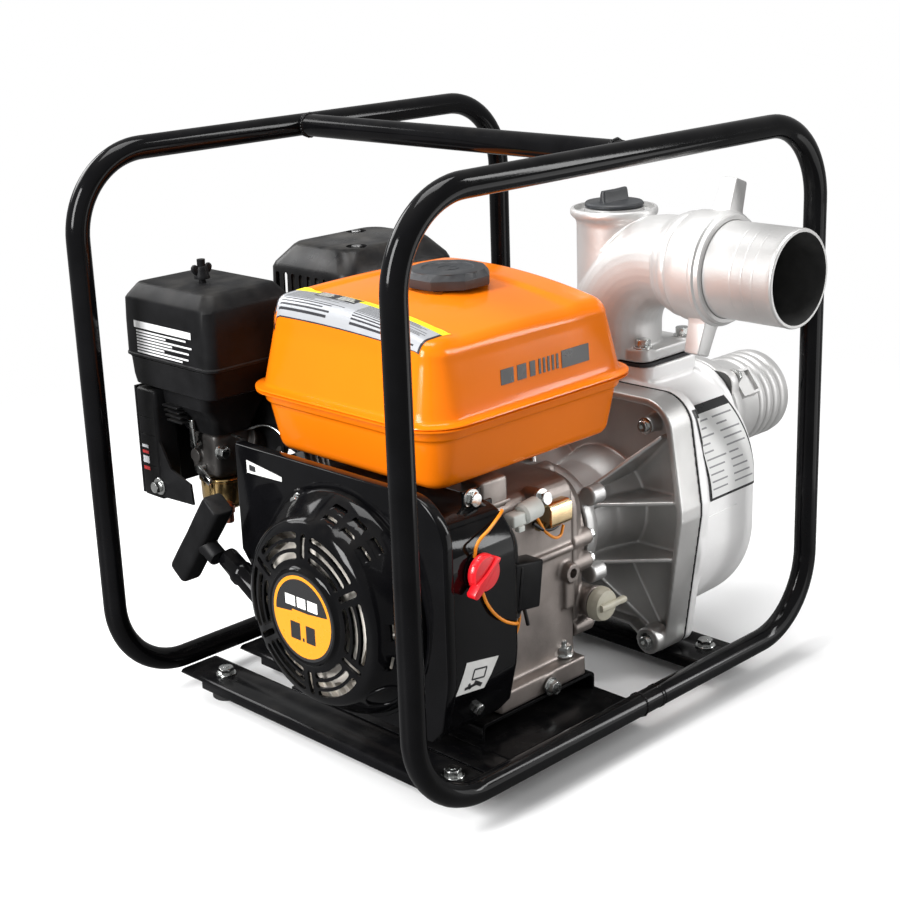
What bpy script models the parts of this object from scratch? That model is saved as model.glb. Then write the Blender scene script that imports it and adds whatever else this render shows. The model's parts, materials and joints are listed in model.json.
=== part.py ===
"""Portable engine-driven fire pump: petrol engine and self-priming 3 inch pump in a tube frame.

Units are metres, +Z is up. Drawing coordinates have their origin on the ground at the middle of
the tube frame: +X runs along the crankshaft from the recoil starter to the pump, and -Y is the side
that the discharge port points to. The empty fire_pump_root moves the drawing so that the whole
set's box is centred on the world origin.
"""

import math

import bmesh
import bpy
from mathutils import Matrix, Vector

# ---------------------------------------------------------------- driving dimensions
GAP = 0.0003                    # clearance kept between neighbouring solids

HOOP_LENGTH = 0.478             # hoop centre lines
HOOP_HEIGHT = 0.440
HOOP_SPACING = 0.360
TUBE_RADIUS = 0.0095
BEND_RADIUS = 0.066
TUBE_Z = 0.030                  # centre line of the bottom tubes above the ground
CROSSBAR_X = -0.005

PLATE_TOP = 0.0202
PLATE_THICKNESS = 0.0025
PLATE_LIP = 0.008
PLATE_HALF_WIDTH = 0.176
FRONT_PLATE_X = (-0.182, -0.141)
ENGINE_PLATE_X = (-0.117, 0.029)
REAR_PLATE_X = (0.120, 0.173)
FOOT_RADIUS = 0.013
FOOT_X = (-0.1615, 0.152)
FOOT_Y = 0.138

CRANK_Y = -0.045
CRANK_Z = 0.143
CYLINDER_TILT = math.radians(20)  # cylinder axis above the horizontal, towards +Y
CRANK_X = -0.024                # middle of the crank throw
CRANK_THROW = 0.027
BORE_RADIUS = 0.034
ENGINE_FOOT_Z = (0.036, 0.054)
CASE_X = (-0.088, 0.014)
CASE_Y = (-0.107, 0.032)
CASE_TOP = 0.205
COVER_X = (CASE_X[1] + GAP, 0.044)

HOUSING_X = (-0.178, -0.100)
HOUSING_TOP = 0.2225
HOUSING_FRONT_TOP = 0.2435
RECOIL_RADIUS = 0.089
RECOIL_FRONT = -0.222
REEL_RADIUS = 0.050
ROPE_TILT = math.radians(30)    # direction of pull, above +Y
GRIP_TILT = math.radians(37)
HANDLE_CENTRE = Vector((-0.202, 0.102, 0.166))
ROPE_GUIDE_X = -0.194

TANK_CENTRE = (-0.040, -0.018)
TANK_HALF = (0.112, 0.104)      # body of the tank at the seam
TANK_FLANGE = 0.008
TANK_BOTTOM = 0.2300
TANK_SEAM = 0.2845
TANK_TOP = 0.3620
TANK_FALL = 0.014
CAP_SEAT = 0.3570
FUEL_CAP_CENTRE = (-0.024, -0.012)
FUEL_CAP_RADIUS = 0.034

CLEANER_X = (-0.190, -0.109)
CLEANER_Y = (0.088, 0.200)
CLEANER_Z = (0.274, 0.300, 0.3640)
MUFFLER_X = (-0.036, 0.098)
MUFFLER_Y = (0.097, 0.207)
MUFFLER_Z = (0.306, 0.3700)

FLANGE_X = (0.112, 0.1397)
FLANGE_TOP = 0.248
FLANGE_WAIST = (0.0965, 0.150)    # half width, and its height above the ground
LUG_OFFSET = (0.068, 0.034)       # bottom lugs: half spacing, height above the ground
LUG_RADIUS = 0.0125
CASING_Z = 0.139
CASING_X = (0.140, 0.151, 0.2285)
CASING_HALF = (0.094, 0.112)
SUCTION_Y = -0.058
SUCTION_Z = 0.199
SUCTION_FACE = 0.236
SUCTION_END = 0.331
PORT_RADIUS = 0.0405
PORT_BORE = 0.0370
OUTLET_X = 0.168
OUTLET_Y = -0.027
OUTLET_PAD_Z = 0.262
DISCHARGE_Z = 0.353
DISCHARGE_END = -0.214
NECK_TOP = 0.394

# The set's box, which the root empty centres on the origin.
BOX_X = (-HOOP_LENGTH / 2 - TUBE_RADIUS, SUCTION_END)
BOX_Y = (DISCHARGE_END, MUFFLER_Y[1])

# colour, metallic, roughness
FINISHES = {
    "black_paint": ((0.010, 0.010, 0.011), 0.0, 0.22),
    "black_plastic": ((0.016, 0.016, 0.017), 0.0, 0.55),
    "rubber": ((0.012, 0.012, 0.012), 0.0, 0.85),
    "orange_paint": ((0.90, 0.33, 0.015), 0.0, 0.18),
    "cast_aluminium": ((0.60, 0.58, 0.55), 0.9, 0.45),
    "engine_casting": ((0.36, 0.32, 0.29), 0.8, 0.5),
    "steel": ((0.62, 0.62, 0.60), 1.0, 0.3),
    "brass": ((0.72, 0.48, 0.20), 1.0, 0.3),
    "red_plastic": ((0.80, 0.02, 0.02), 0.0, 0.35),
    "grey_plastic": ((0.55, 0.53, 0.46), 0.0, 0.5),
    "foam": ((0.55, 0.52, 0.20), 0.0, 0.95),
    "seal_black": ((0.02, 0.02, 0.02), 0.0, 0.7),
}

X_AXIS = Vector((1, 0, 0))
Y_AXIS = Vector((0, 1, 0))
Z_AXIS = Vector((0, 0, 1))


# ---------------------------------------------------------------- scene and helpers
def clear_scene():
    for obj in list(bpy.data.objects):
        bpy.data.objects.remove(obj, do_unlink=True)


def new_collection(name):
    collection = bpy.data.collections.new(name)
    bpy.context.scene.collection.children.link(collection)
    return collection


clear_scene()
PARTS = new_collection("portable_fire_pump")
TOOLS = new_collection("cutters_and_guides")


def make_root():
    root = bpy.data.objects.new("fire_pump_root", None)
    root.location = (-sum(BOX_X) / 2, -sum(BOX_Y) / 2, 0)
    PARTS.objects.link(root)
    return root


ROOT = make_root()


def make_material(name):
    colour, metallic, roughness = FINISHES[name]
    material = bpy.data.materials.new(name)
    material.use_nodes = True
    shader = material.node_tree.nodes["Principled BSDF"]
    shader.inputs["Base Color"].default_value = (*colour, 1)
    shader.inputs["Metallic"].default_value = metallic
    shader.inputs["Roughness"].default_value = roughness
    material.diffuse_color = (*colour, 1)
    return material


MATERIALS = {name: make_material(name) for name in FINISHES}


def link(obj, finish=None, parent=None):
    """Link a part, or with no finish a cutter or guide, under the root."""
    obj.parent = parent or ROOT
    if finish is None:
        TOOLS.objects.link(obj)
        obj.hide_render = True
        obj.display_type = "WIRE"
        return obj
    PARTS.objects.link(obj)
    obj.data.materials.clear()
    obj.data.materials.append(MATERIALS[finish])
    return obj


def smooth(mesh, angle=30):
    mesh.shade_smooth()
    mesh.set_sharp_from_angle(angle=math.radians(angle))


def mesh_from(bm, name, pivot=(0, 0, 0), rounded=False):
    mesh = bpy.data.meshes.new(name)
    bmesh.ops.recalc_face_normals(bm, faces=bm.faces)
    bm.to_mesh(mesh)
    bm.free()
    mesh.transform(Matrix.Translation(-Vector(pivot)))
    if rounded:
        smooth(mesh)
    return mesh


def block(name, low, high, finish=None, bevel=0.0, segments=1, pivot=(0, 0, 0), parent=None,
          edges=None):
    """A box between two corners; edges picks which edges the bevel rounds."""
    bm = bmesh.new()
    low = Vector(low)
    high = Vector(high)
    size = high - low
    matrix = Matrix.Translation((low + high) / 2) @ Matrix.Diagonal((*size, 1))
    bmesh.ops.create_cube(bm, size=1, matrix=matrix)
    if bevel:
        chosen = [e for e in bm.edges if edges is None or edges(e, low, high)]
        bmesh.ops.bevel(bm, geom=chosen, offset=bevel, segments=segments, affect="EDGES",
                        profile=0.5, clamp_overlap=True)
    obj = bpy.data.objects.new(name, mesh_from(bm, name, pivot, bool(bevel)))
    obj.location = pivot
    return link(obj, finish, parent)


def edges_along(axis):
    """Picks the edges that run along one axis, 0 for X, 1 for Y, 2 for Z."""
    def chosen(edge, low, high):
        run = (edge.verts[1].co - edge.verts[0].co).normalized()
        return abs(run[axis]) > 0.9
    return chosen


def edges_not_at(axis, value):
    """Picks every edge except those that lie wholly in one plane."""
    def chosen(edge, low, high):
        return not all(abs(v.co[axis] - value) < 1e-6 for v in edge.verts)
    return chosen


def rod(name, start, end, radius, finish=None, end_radius=None, sides=16, pivot=(0, 0, 0),
        parent=None, turn=0.0):
    """A cylinder or cone between two points."""
    start = Vector(start)
    end = Vector(end)
    run = end - start
    bm = bmesh.new()
    matrix = (Matrix.Translation((start + end) / 2)
              @ run.to_track_quat("Z", "Y").to_matrix().to_4x4()
              @ Matrix.Rotation(turn, 4, "Z"))
    bmesh.ops.create_cone(bm, cap_ends=True, segments=sides, radius1=radius,
                          radius2=radius if end_radius is None else end_radius,
                          depth=run.length, matrix=matrix)
    obj = bpy.data.objects.new(name, mesh_from(bm, name, pivot, sides > 8))
    obj.location = pivot
    return link(obj, finish, parent)


def turned(name, profile, centre, axis, finish=None, steps=16, closed=False, parent=None):
    """A profile of (radius, height) points, top to bottom on its outer side, turned about an axis."""
    mesh = bpy.data.meshes.new(name)
    points = [(radius, 0, height) for radius, height in profile]
    edges = [(i, i + 1) for i in range(len(points) - 1)]
    if closed:
        edges.append((len(points) - 1, 0))
    mesh.from_pydata(points, edges, [])
    obj = bpy.data.objects.new(name, mesh)
    obj.location = centre
    obj.rotation_euler = Vector(axis).to_track_quat("Z", "Y").to_euler()
    screw = obj.modifiers.new("turn", "SCREW")
    screw.steps = steps
    screw.render_steps = steps
    screw.use_merge_vertices = True
    screw.merge_threshold = 0.00005
    screw.use_smooth_shade = True
    return link(obj, finish, parent)


def ring_profile(outer, inner, top, bottom):
    return [(inner, top), (outer, top), (outer, bottom), (inner, bottom)]


def as_mesh(obj):
    """Turn a curve object into a mesh object with its caps welded."""
    bpy.context.view_layer.update()
    depsgraph = bpy.context.evaluated_depsgraph_get()
    mesh = bpy.data.meshes.new_from_object(obj.evaluated_get(depsgraph))
    mesh.name = obj.name
    bm = bmesh.new()
    bm.from_mesh(mesh)
    bmesh.ops.remove_doubles(bm, verts=bm.verts, dist=0.00002)
    bmesh.ops.recalc_face_normals(bm, faces=bm.faces)
    bm.to_mesh(mesh)
    bm.free()
    smooth(mesh, 40)
    name = obj.name
    matrix = obj.matrix_world.copy()
    bpy.data.objects.remove(obj, do_unlink=True)
    made = bpy.data.objects.new(name, mesh)
    made.matrix_world = matrix
    return made


def tube(name, points, radius, finish=None, cyclic=False, resolution=3, parent=None):
    """A round bar along a line of points, as a mesh."""
    curve = bpy.data.curves.new(name, "CURVE")
    curve.dimensions = "3D"
    curve.bevel_depth = radius
    curve.bevel_resolution = resolution
    curve.use_fill_caps = not cyclic
    curve.render_resolution_u = 0
    spline = curve.splines.new("POLY")
    spline.points.add(len(points) - 1)
    for point, place in zip(spline.points, points):
        point.co = (*place, 1)
    spline.use_cyclic_u = cyclic
    obj = bpy.data.objects.new(name, curve)
    TOOLS.objects.link(obj)
    return link(as_mesh(obj), finish, parent)


def prism(name, outline, depth, centre, normal, up=Z_AXIS, finish=None, pivot=None, parent=None):
    """A flat outline extruded both ways along its normal; up is the outline's second direction."""
    normal = Vector(normal).normalized()
    up = Vector(up).normalized()
    across = up.cross(normal)
    middle = Vector(centre)
    place = Vector(pivot or centre)
    bm = bmesh.new()
    rings = []
    for side in (-0.5, 0.5):
        shift = middle - place + normal * depth * side
        rings.append([bm.verts.new(shift + across * u + up * v) for u, v in outline])
    bottom, top = rings
    bm.faces.new(bottom[::-1])
    bm.faces.new(top)
    for i in range(len(outline)):
        bm.faces.new((bottom[i - 1], bottom[i], top[i], top[i - 1]))
    bmesh.ops.recalc_face_normals(bm, faces=bm.faces)
    obj = bpy.data.objects.new(name, mesh_from(bm, name))
    obj.location = place
    return link(obj, finish, parent)


def boolean(obj, other, operation):
    modifier = obj.modifiers.new(operation.lower(), "BOOLEAN")
    modifier.operation = operation
    modifier.solver = "EXACT"
    modifier.object = other
    return obj


def cut(obj, *cutters):
    for cutter in cutters:
        boolean(obj, cutter, "DIFFERENCE")
    return obj


def join(obj, *guides):
    for guide in guides:
        boolean(obj, guide, "UNION")
    return obj


def arc(centre, radius, start, end, steps):
    """Points along an arc, in degrees from the first direction towards the second."""
    angles = [math.radians(start + (end - start) * i / steps) for i in range(steps + 1)]
    return [(centre[0] + radius * math.cos(a), centre[1] + radius * math.sin(a)) for a in angles]


def rounded_rectangle(half_width, half_height, radius, steps=5):
    corners = [(1, 1, 0), (-1, 1, 90), (-1, -1, 180), (1, -1, 270)]
    points = []
    for sx, sy, start in corners:
        centre = (sx * (half_width - radius), sy * (half_height - radius))
        points += arc(centre, radius, start, start + 90, steps)
    return points


# ---------------------------------------------------------------- tube frame
def hoop(name, y):
    outline = rounded_rectangle(HOOP_LENGTH / 2, HOOP_HEIGHT / 2, BEND_RADIUS, 5)
    middle = TUBE_Z + HOOP_HEIGHT / 2
    points = [(x, y, z + middle) for x, z in outline]
    return tube(name, points, TUBE_RADIUS, "black_paint", cyclic=True)


def channel_outline(width, height, thickness):
    w = width / 2
    t = thickness
    return [(-w, -height), (-w + t, -height), (-w + t, -t), (w - t, -t),
            (w - t, -height), (w, -height), (w, 0), (-w, 0)]


def channel(name, x_range, top, height, thickness, y_range):
    outline = channel_outline(x_range[1] - x_range[0], height, thickness)
    centre = (sum(x_range) / 2, sum(y_range) / 2, top)
    return prism(name, outline, y_range[1] - y_range[0], centre, -Y_AXIS, finish="black_paint")


def base_plate(name, x_range):
    return channel(name, x_range, PLATE_TOP, PLATE_LIP, PLATE_THICKNESS,
                   (-PLATE_HALF_WIDTH, PLATE_HALF_WIDTH))


def foot(name, x, y):
    top = PLATE_TOP - PLATE_THICKNESS - GAP
    bolt_hole = 0.0045
    hole_floor = 0.006
    profile = [(0, hole_floor), (bolt_hole, hole_floor), (bolt_hole, top),
               (FOOT_RADIUS - 0.002, top), (FOOT_RADIUS, 0.001), (FOOT_RADIUS - 0.001, 0), (0, 0)]
    return turned(name, profile, (x, y, 0), Z_AXIS, "rubber", steps=12)


def foot_bolt(name, x, y):
    seat = PLATE_TOP + GAP
    shank_radius = 0.0036
    shank = rod(name + "_shank", (x, y, 0.008), (x, y, seat + 0.002), shank_radius, sides=12)
    head = rod(name + "_hex", (x, y, seat + 0.001), (x, y, seat + 0.0065), 0.0069, sides=6)
    bolt = rod(name, (x, y, seat), (x, y, seat + 0.0014), 0.009, "steel", sides=12)
    return join(bolt, head, shank)


def build_frame():
    hoop("near_hoop", -HOOP_SPACING / 2)
    hoop("far_hoop", HOOP_SPACING / 2)
    half_bar = HOOP_SPACING / 2 - TUBE_RADIUS - GAP
    bar_z = TUBE_Z + HOOP_HEIGHT
    rod("top_crossbar", (CROSSBAR_X, -half_bar, bar_z), (CROSSBAR_X, half_bar, bar_z), TUBE_RADIUS,
        "black_paint", sides=16)
    front = base_plate("front_base_plate", FRONT_PLATE_X)
    rear = base_plate("rear_base_plate", REAR_PLATE_X)
    base_plate("engine_base_plate", ENGINE_PLATE_X)
    channel("engine_riser", (-0.110, 0.024), ENGINE_FOOT_Z[0] - GAP, 0.0152, 0.003, (-0.1198, 0.066))
    for plate, x, end in ((front, FOOT_X[0], "front"), (rear, FOOT_X[1], "rear")):
        for y, side in ((-FOOT_Y, "near"), (FOOT_Y, "far")):
            name = f"{end}_{side}"
            cut(plate, rod(name + "_foot_hole", (x, y, 0.01), (x, y, 0.03), 0.0043, sides=12))
            foot(name + "_rubber_foot", x, y)
            foot_bolt(name + "_foot_bolt", x, y)


# ---------------------------------------------------------------- engine
def cylinder_frame():
    """Local +Z runs along the cylinder axis, local +X along the crankshaft."""
    empty = bpy.data.objects.new("cylinder_axis", None)
    empty.location = (CRANK_X, CRANK_Y, CRANK_Z)
    empty.rotation_euler = (CYLINDER_TILT - math.pi / 2, 0, 0)
    PARTS.objects.link(empty)
    empty.parent = ROOT
    return empty


def crank_rod(name, x_start, x_end, radius, finish=None, sides=20, dy=0.0, dz=0.0):
    start = (x_start, CRANK_Y + dy, CRANK_Z + dz)
    end = (x_end, CRANK_Y + dy, CRANK_Z + dz)
    return rod(name, start, end, radius, finish, sides=sides)


BARREL_TOP = 0.146
BARREL_HALF = 0.044


def build_crankcase(cylinder):
    case = block("crankcase", (CASE_X[0], CASE_Y[0], ENGINE_FOOT_Z[0]),
                 (CASE_X[1], CASE_Y[1], CASE_TOP), "engine_casting", bevel=0.014, segments=3,
                 edges=edges_along(0))
    foot_block = block("crankcase_foot", (CASE_X[0], -0.120, ENGINE_FOOT_Z[0]),
                       (CASE_X[1] + 0.002 - GAP, 0.064, ENGINE_FOOT_Z[1]))
    barrel = block("cylinder_barrel", (-0.042, -BARREL_HALF + 0.006, 0.02),
                   (0.0360, BARREL_HALF - 0.006, BARREL_TOP), parent=cylinder)
    bearing = crank_rod("main_bearing_hole", CASE_X[0] - 0.01, -0.050, 0.0128, sides=20)
    cut(join(case, foot_block, barrel), bearing)
    fin_pitch = 0.012
    for i in range(6):
        z = 0.076 + i * fin_pitch
        join(case, block(f"fin_{i}", (-0.050, -BARREL_HALF, z), (0.0366, BARREL_HALF, z + 0.003),
                         parent=cylinder))
    chamber = crank_rod("crank_chamber", -0.064, CASE_X[1] + 0.01, 0.052, sides=24)
    bore = rod("bore", (0, 0, 0.02), (0, 0, BARREL_TOP + 0.01), BORE_RADIUS, sides=22,
               parent=cylinder)
    return cut(case, chamber, bore)


def build_side_cover():
    outline = rounded_rectangle((CASE_Y[1] - CASE_Y[0]) / 2, 0.073, 0.030, 4)
    middle_y = sum(CASE_Y) / 2
    middle_z = 0.131
    depth = COVER_X[1] - COVER_X[0]
    cover = prism("crankcase_side_cover", outline, depth * 0.55,
                  (COVER_X[0] + depth * 0.275, middle_y, middle_z), X_AXIS,
                  finish="engine_casting")
    boss = crank_rod("side_cover_boss", COVER_X[0] + 0.004, COVER_X[1], 0.050, sides=24)
    filler = rod("oil_filler_boss", (0.031, -0.090, 0.094), (0.031, -0.1175, 0.094), 0.0125,
                 sides=16)
    join(cover, boss, filler)
    recess = crank_rod("side_cover_recess", COVER_X[0] - 0.01, COVER_X[0] + 0.006, 0.045)
    bearing = crank_rod("side_bearing_hole", COVER_X[0] - 0.01, COVER_X[1] + 0.01, 0.0128)
    filler_hole = rod("oil_filler_hole", (0.031, -0.100, 0.094), (0.031, -0.125, 0.094), 0.0085,
                      sides=12)
    return cut(cover, recess, bearing, filler_hole)


def build_head(cylinder):
    z0 = BARREL_TOP + GAP
    z1 = z0 + 0.032
    head = block("cylinder_head", (-0.058, -BARREL_HALF, z0), (0.050, BARREL_HALF, z1),
                 "engine_casting", parent=cylinder)
    for i in range(3):
        z = z0 + 0.005 + i * 0.009
        groove = block(f"head_groove_{i}", (-0.07, -0.05, z), (0.06, -BARREL_HALF + 0.010, z + 0.004),
                       parent=cylinder)
        cut(head, groove)
    dome = rod("combustion_dome", (0, 0, z0 - 0.01), (0, 0, z0 + 0.006), BORE_RADIUS - 0.003,
               end_radius=0.015, sides=20, parent=cylinder)
    cut(head, dome)
    block("rocker_cover", (-0.034, -0.033, z1 + GAP), (0.046, 0.033, z1 + 0.026), "steel",
          bevel=0.006, segments=2, parent=cylinder, edges=edges_not_at(2, z1 + GAP))
    plug_x = -0.046
    body = rod("spark_plug", (plug_x, 0, z1 + GAP), (plug_x, 0, z1 + 0.016), 0.0085, "rubber",
               sides=14, parent=cylinder)
    join(body, rod("spark_plug_cap", (plug_x, 0, z1 + 0.010), (plug_x, 0.006, z1 + 0.040), 0.0095,
                   sides=14, parent=cylinder))
    return head


def build_crankshaft():
    """Shaft, two round webs and the crank pin; the throw stands along the cylinder axis."""
    shaft = crank_rod("crankshaft", -0.174, 0.045, 0.0120, "steel")
    pump_end = crank_rod("pump_shaft", 0.040, 0.166, 0.0095)
    webs = [crank_rod(f"crank_web_{i}", x, x + 0.012, 0.045, sides=24)
            for i, x in enumerate((CRANK_X - 0.024, CRANK_X + 0.012))]
    offset_y = CRANK_THROW * math.cos(CYLINDER_TILT)
    offset_z = CRANK_THROW * math.sin(CYLINDER_TILT)
    pin = crank_rod("crank_pin", CRANK_X - 0.020, CRANK_X + 0.020, 0.015, dy=offset_y,
                    dz=offset_z)
    throw_gap = crank_rod("throw_gap", CRANK_X - 0.0115, CRANK_X + 0.0115, 0.0165)
    cut(shaft, throw_gap)
    return join(shaft, pump_end, webs[0], webs[1], pin)


PISTON_BOTTOM = 0.102
PISTON_TOP = 0.1445


def build_piston(cylinder):
    radius = BORE_RADIUS - 0.0004
    profile = [(0, PISTON_TOP), (radius, PISTON_TOP), (radius, PISTON_TOP - 0.005),
               (radius - 0.0015, PISTON_TOP - 0.005), (radius - 0.0015, PISTON_TOP - 0.007),
               (radius, PISTON_TOP - 0.007), (radius, PISTON_BOTTOM),
               (radius - 0.004, PISTON_BOTTOM), (radius - 0.004, PISTON_TOP - 0.012),
               (0, PISTON_TOP - 0.012)]
    return turned("piston", profile, (0, 0, 0), Z_AXIS, "cast_aluminium", parent=cylinder)


def build_flywheel():
    hub_hole = 0.0123
    profile = ring_profile(0.0755, hub_hole, 0.045, 0.030)
    wheel = turned("flywheel_fan", profile, (-0.165, CRANK_Y, CRANK_Z), X_AXIS, "cast_aluminium",
                   closed=True, steps=20)
    hub = turned("flywheel_hub", ring_profile(0.030, hub_hole, 0.031, -0.009),
                 (-0.165, CRANK_Y, CRANK_Z), X_AXIS, closed=True, steps=24)
    join(wheel, hub)
    blades = 12
    for i in range(blades):
        angle = math.tau * i / blades
        blade = block(f"fan_blade_{i}", (0.0, -0.0015, 0.034), (0.031, 0.0015, 0.0745))
        blade.matrix_local = (Matrix.Translation((-0.165, CRANK_Y, CRANK_Z))
                              @ Matrix.Rotation(angle, 4, "X"))
        join(wheel, blade)
    return wheel


def housing_outline(inset, top):
    """Outline of the blower housing in Y, Z: flat near side and top, reaching over the cylinder."""
    near = -0.1535 + inset
    shoulder = 0.036
    bottom = CRANK_Z - 0.090 + inset
    points = arc((near + shoulder, top - shoulder - inset), shoulder, 90, 180, 4)
    points += [(near, 0.110), (near + 0.009, bottom + 0.012), (near + 0.020, bottom)]
    points += arc((CRANK_Y, CRANK_Z), 0.090 - inset, 270, 330, 5)
    points += [(0.080 - inset, 0.155 + inset / 2), (0.080 - inset, top - inset)]
    return points


def build_blower_housing():
    """Pressed cover round the fan, with a taller wall at its front and open at the back."""
    wall = 0.0022
    lip = 0.0008
    front, back = HOUSING_X
    front_depth = 0.010

    def slab(name, inset, top, x0, x1, finish=None):
        return prism(name, housing_outline(inset, top), x1 - x0, ((x0 + x1) / 2, 0, 0), X_AXIS,
                     finish=finish)

    housing = slab("blower_housing", 0, HOUSING_TOP, front, back, "black_paint")
    join(housing, slab("housing_front", -lip, HOUSING_FRONT_TOP, front, front + front_depth))
    hollow = slab("housing_hollow", wall, HOUSING_TOP, front + wall, back + 0.01)
    front_hollow = slab("housing_front_hollow", wall + lip, HOUSING_FRONT_TOP, front + wall - lip,
                        front + front_depth - wall)
    mouth = crank_rod("fan_mouth", front - 0.01, front + 0.01, 0.0745, sides=22)
    return cut(housing, join(hollow, front_hollow), mouth)


def build_recoil():
    """Domed starter cover with its spool post, and the rope reel behind it."""
    base = HOUSING_X[0] - GAP
    depth = base - RECOIL_FRONT
    wall = 0.0025
    r = RECOIL_RADIUS
    profile = [(0, depth), (0.036, depth), (0.040, depth - 0.004), (0.066, depth - 0.010),
               (r - 0.006, depth - 0.024), (r, 0.006), (r, 0), (r - wall, 0),
               (r - wall, 0.005), (r - 0.006 - wall, depth - 0.025), (0.066, depth - 0.0125),
               (0.038, depth - 0.0065), (0.010, depth - 0.003), (0.010, 0.005), (0, 0.005)]
    cover = turned("recoil_cover", profile, (base, CRANK_Y, CRANK_Z), -X_AXIS, "black_paint",
                   steps=20)
    windows = 6
    for i in range(windows):
        angle = math.tau * (i + 0.5) / windows
        window = block(f"recoil_window_{i}", (RECOIL_FRONT - 0.01, -0.015, 0.048),
                       (RECOIL_FRONT + 0.026, 0.015, 0.076))
        window.matrix_local = (Matrix.Translation((0, CRANK_Y, CRANK_Z))
                               @ Matrix.Rotation(angle, 4, "X"))
        cut(cover, window)
    pull = Vector((0, math.cos(ROPE_TILT), math.sin(ROPE_TILT)))
    guide_start = Vector((ROPE_GUIDE_X, HANDLE_CENTRE.y, HANDLE_CENTRE.z)) - pull * 0.080
    guide_end = guide_start + pull * 0.054
    join(cover, rod("rope_guide", guide_start, guide_end, 0.0075, sides=14))
    cut(cover, rod("rope_hole", guide_start - pull * 0.02, guide_end + pull * 0.01, 0.0040,
                   sides=10))
    reel_profile = [(0.0105, 0.010), (REEL_RADIUS + 0.006, 0.010), (REEL_RADIUS + 0.006, 0.0075),
                    (REEL_RADIUS, 0.0065), (REEL_RADIUS, 0.0035), (REEL_RADIUS + 0.006, 0.0025),
                    (REEL_RADIUS + 0.006, 0.0), (0.0105, 0.0)]
    turned("recoil_reel", reel_profile, (-0.1975, CRANK_Y, CRANK_Z), -X_AXIS, "steel", steps=24,
           closed=True)


def build_recoil_handle():
    pull = Vector((0, math.cos(ROPE_TILT), math.sin(ROPE_TILT)))
    grip = block("recoil_handle", (-0.010, -0.012, -0.044), (0.010, 0.010, 0.044),
                 "black_plastic", bevel=0.005, segments=2)
    grip.data.transform(Matrix.Rotation(GRIP_TILT, 4, "X"))
    grip.location = HANDLE_CENTRE
    stem = rod("grip_stem", HANDLE_CENTRE - pull * 0.019, HANDLE_CENTRE, 0.0065, sides=12)
    return join(grip, stem)


# ---------------------------------------------------------------- fuel tank, air cleaner, exhaust
def tank_shell(name, z_open, z_closed, taper, bevel, wall, fall=0.0):
    """Half of the tank: a tapered box closed at z_closed, hollow, with a seam flange at z_open.

    The closed face drops by fall towards the near side.
    """
    cx, cy = TANK_CENTRE
    hx, hy = TANK_HALF

    def tapered(part_name, inset, depth_inset, finish):
        closed = z_closed - math.copysign(depth_inset, z_closed - z_open)
        opened = z_open if finish else z_open - math.copysign(0.01, z_closed - z_open)
        low = (cx - hx + inset, cy - hy + inset, min(opened, closed))
        high = (cx + hx - inset, cy + hy - inset, max(opened, closed))
        obj = block(part_name, low, high)
        for vertex in obj.data.vertices:
            if abs(vertex.co.z - closed) < 1e-6:
                vertex.co.x -= math.copysign(taper, vertex.co.x - cx)
                vertex.co.z -= fall if vertex.co.y < cy else 0.0
                vertex.co.y -= math.copysign(taper, vertex.co.y - cy)
        bm = bmesh.new()
        bm.from_mesh(obj.data)
        edges = [e for e in bm.edges
                 if not all(abs(v.co.z - opened) < 1e-6 for v in e.verts)]
        bmesh.ops.bevel(bm, geom=edges, offset=bevel, segments=3, affect="EDGES", profile=0.5,
                        clamp_overlap=True)
        bm.to_mesh(obj.data)
        bm.free()
        smooth(obj.data)
        return obj

    shell = tapered(name, 0, 0, True)
    TOOLS.objects.unlink(shell)
    shell.hide_render = False
    shell.display_type = "TEXTURED"
    link(shell, "orange_paint")
    cavity = tapered(name + "_cavity", wall, wall, False)
    flange_z = z_open + math.copysign(0.0015, z_closed - z_open)
    outline = rounded_rectangle(hx + TANK_FLANGE, hy + TANK_FLANGE, 0.034, 5)
    flange = prism(name + "_flange", outline, 0.003, (cx, cy, flange_z), Z_AXIS, up=Y_AXIS)
    join(shell, flange)
    return cut(shell, cavity)


def build_tank():
    upper = tank_shell("fuel_tank_upper", TANK_SEAM + GAP / 2, TANK_TOP, 0.011, 0.024, 0.0025, TANK_FALL)
    tank_shell("fuel_tank_lower", TANK_SEAM - GAP / 2, TANK_BOTTOM, 0.012, 0.016, 0.0025)
    x, y = FUEL_CAP_CENTRE
    seat = rod("filler_seat", (x, y, CAP_SEAT - 0.0025), (x, y, CAP_SEAT + 0.0045), 0.0400, sides=24)
    recess = rod("filler_recess", (x, y, CAP_SEAT), (x, y, TANK_TOP + 0.01), 0.0375, sides=24)
    filler = rod("filler_hole", (x, y, CAP_SEAT - 0.01), (x, y, CAP_SEAT + 0.01), 0.0205, sides=16)
    cut(join(upper, seat), recess, filler)
    cap_z = CAP_SEAT + GAP
    cap = rod("fuel_cap", (x, y, cap_z + 0.003), (x, y, cap_z + 0.015), FUEL_CAP_RADIUS,
              "black_plastic", end_radius=0.029, sides=8, pivot=(x, y, cap_z),
              turn=math.pi / 8)
    skirt = rod("fuel_cap_skirt", (x, y, cap_z), (x, y, cap_z + 0.004), 0.028, sides=16)
    plug = rod("fuel_cap_plug", (x, y, cap_z - 0.012), (x, y, cap_z + 0.002), 0.0195, sides=16)
    join(cap, skirt, plug)


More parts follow.
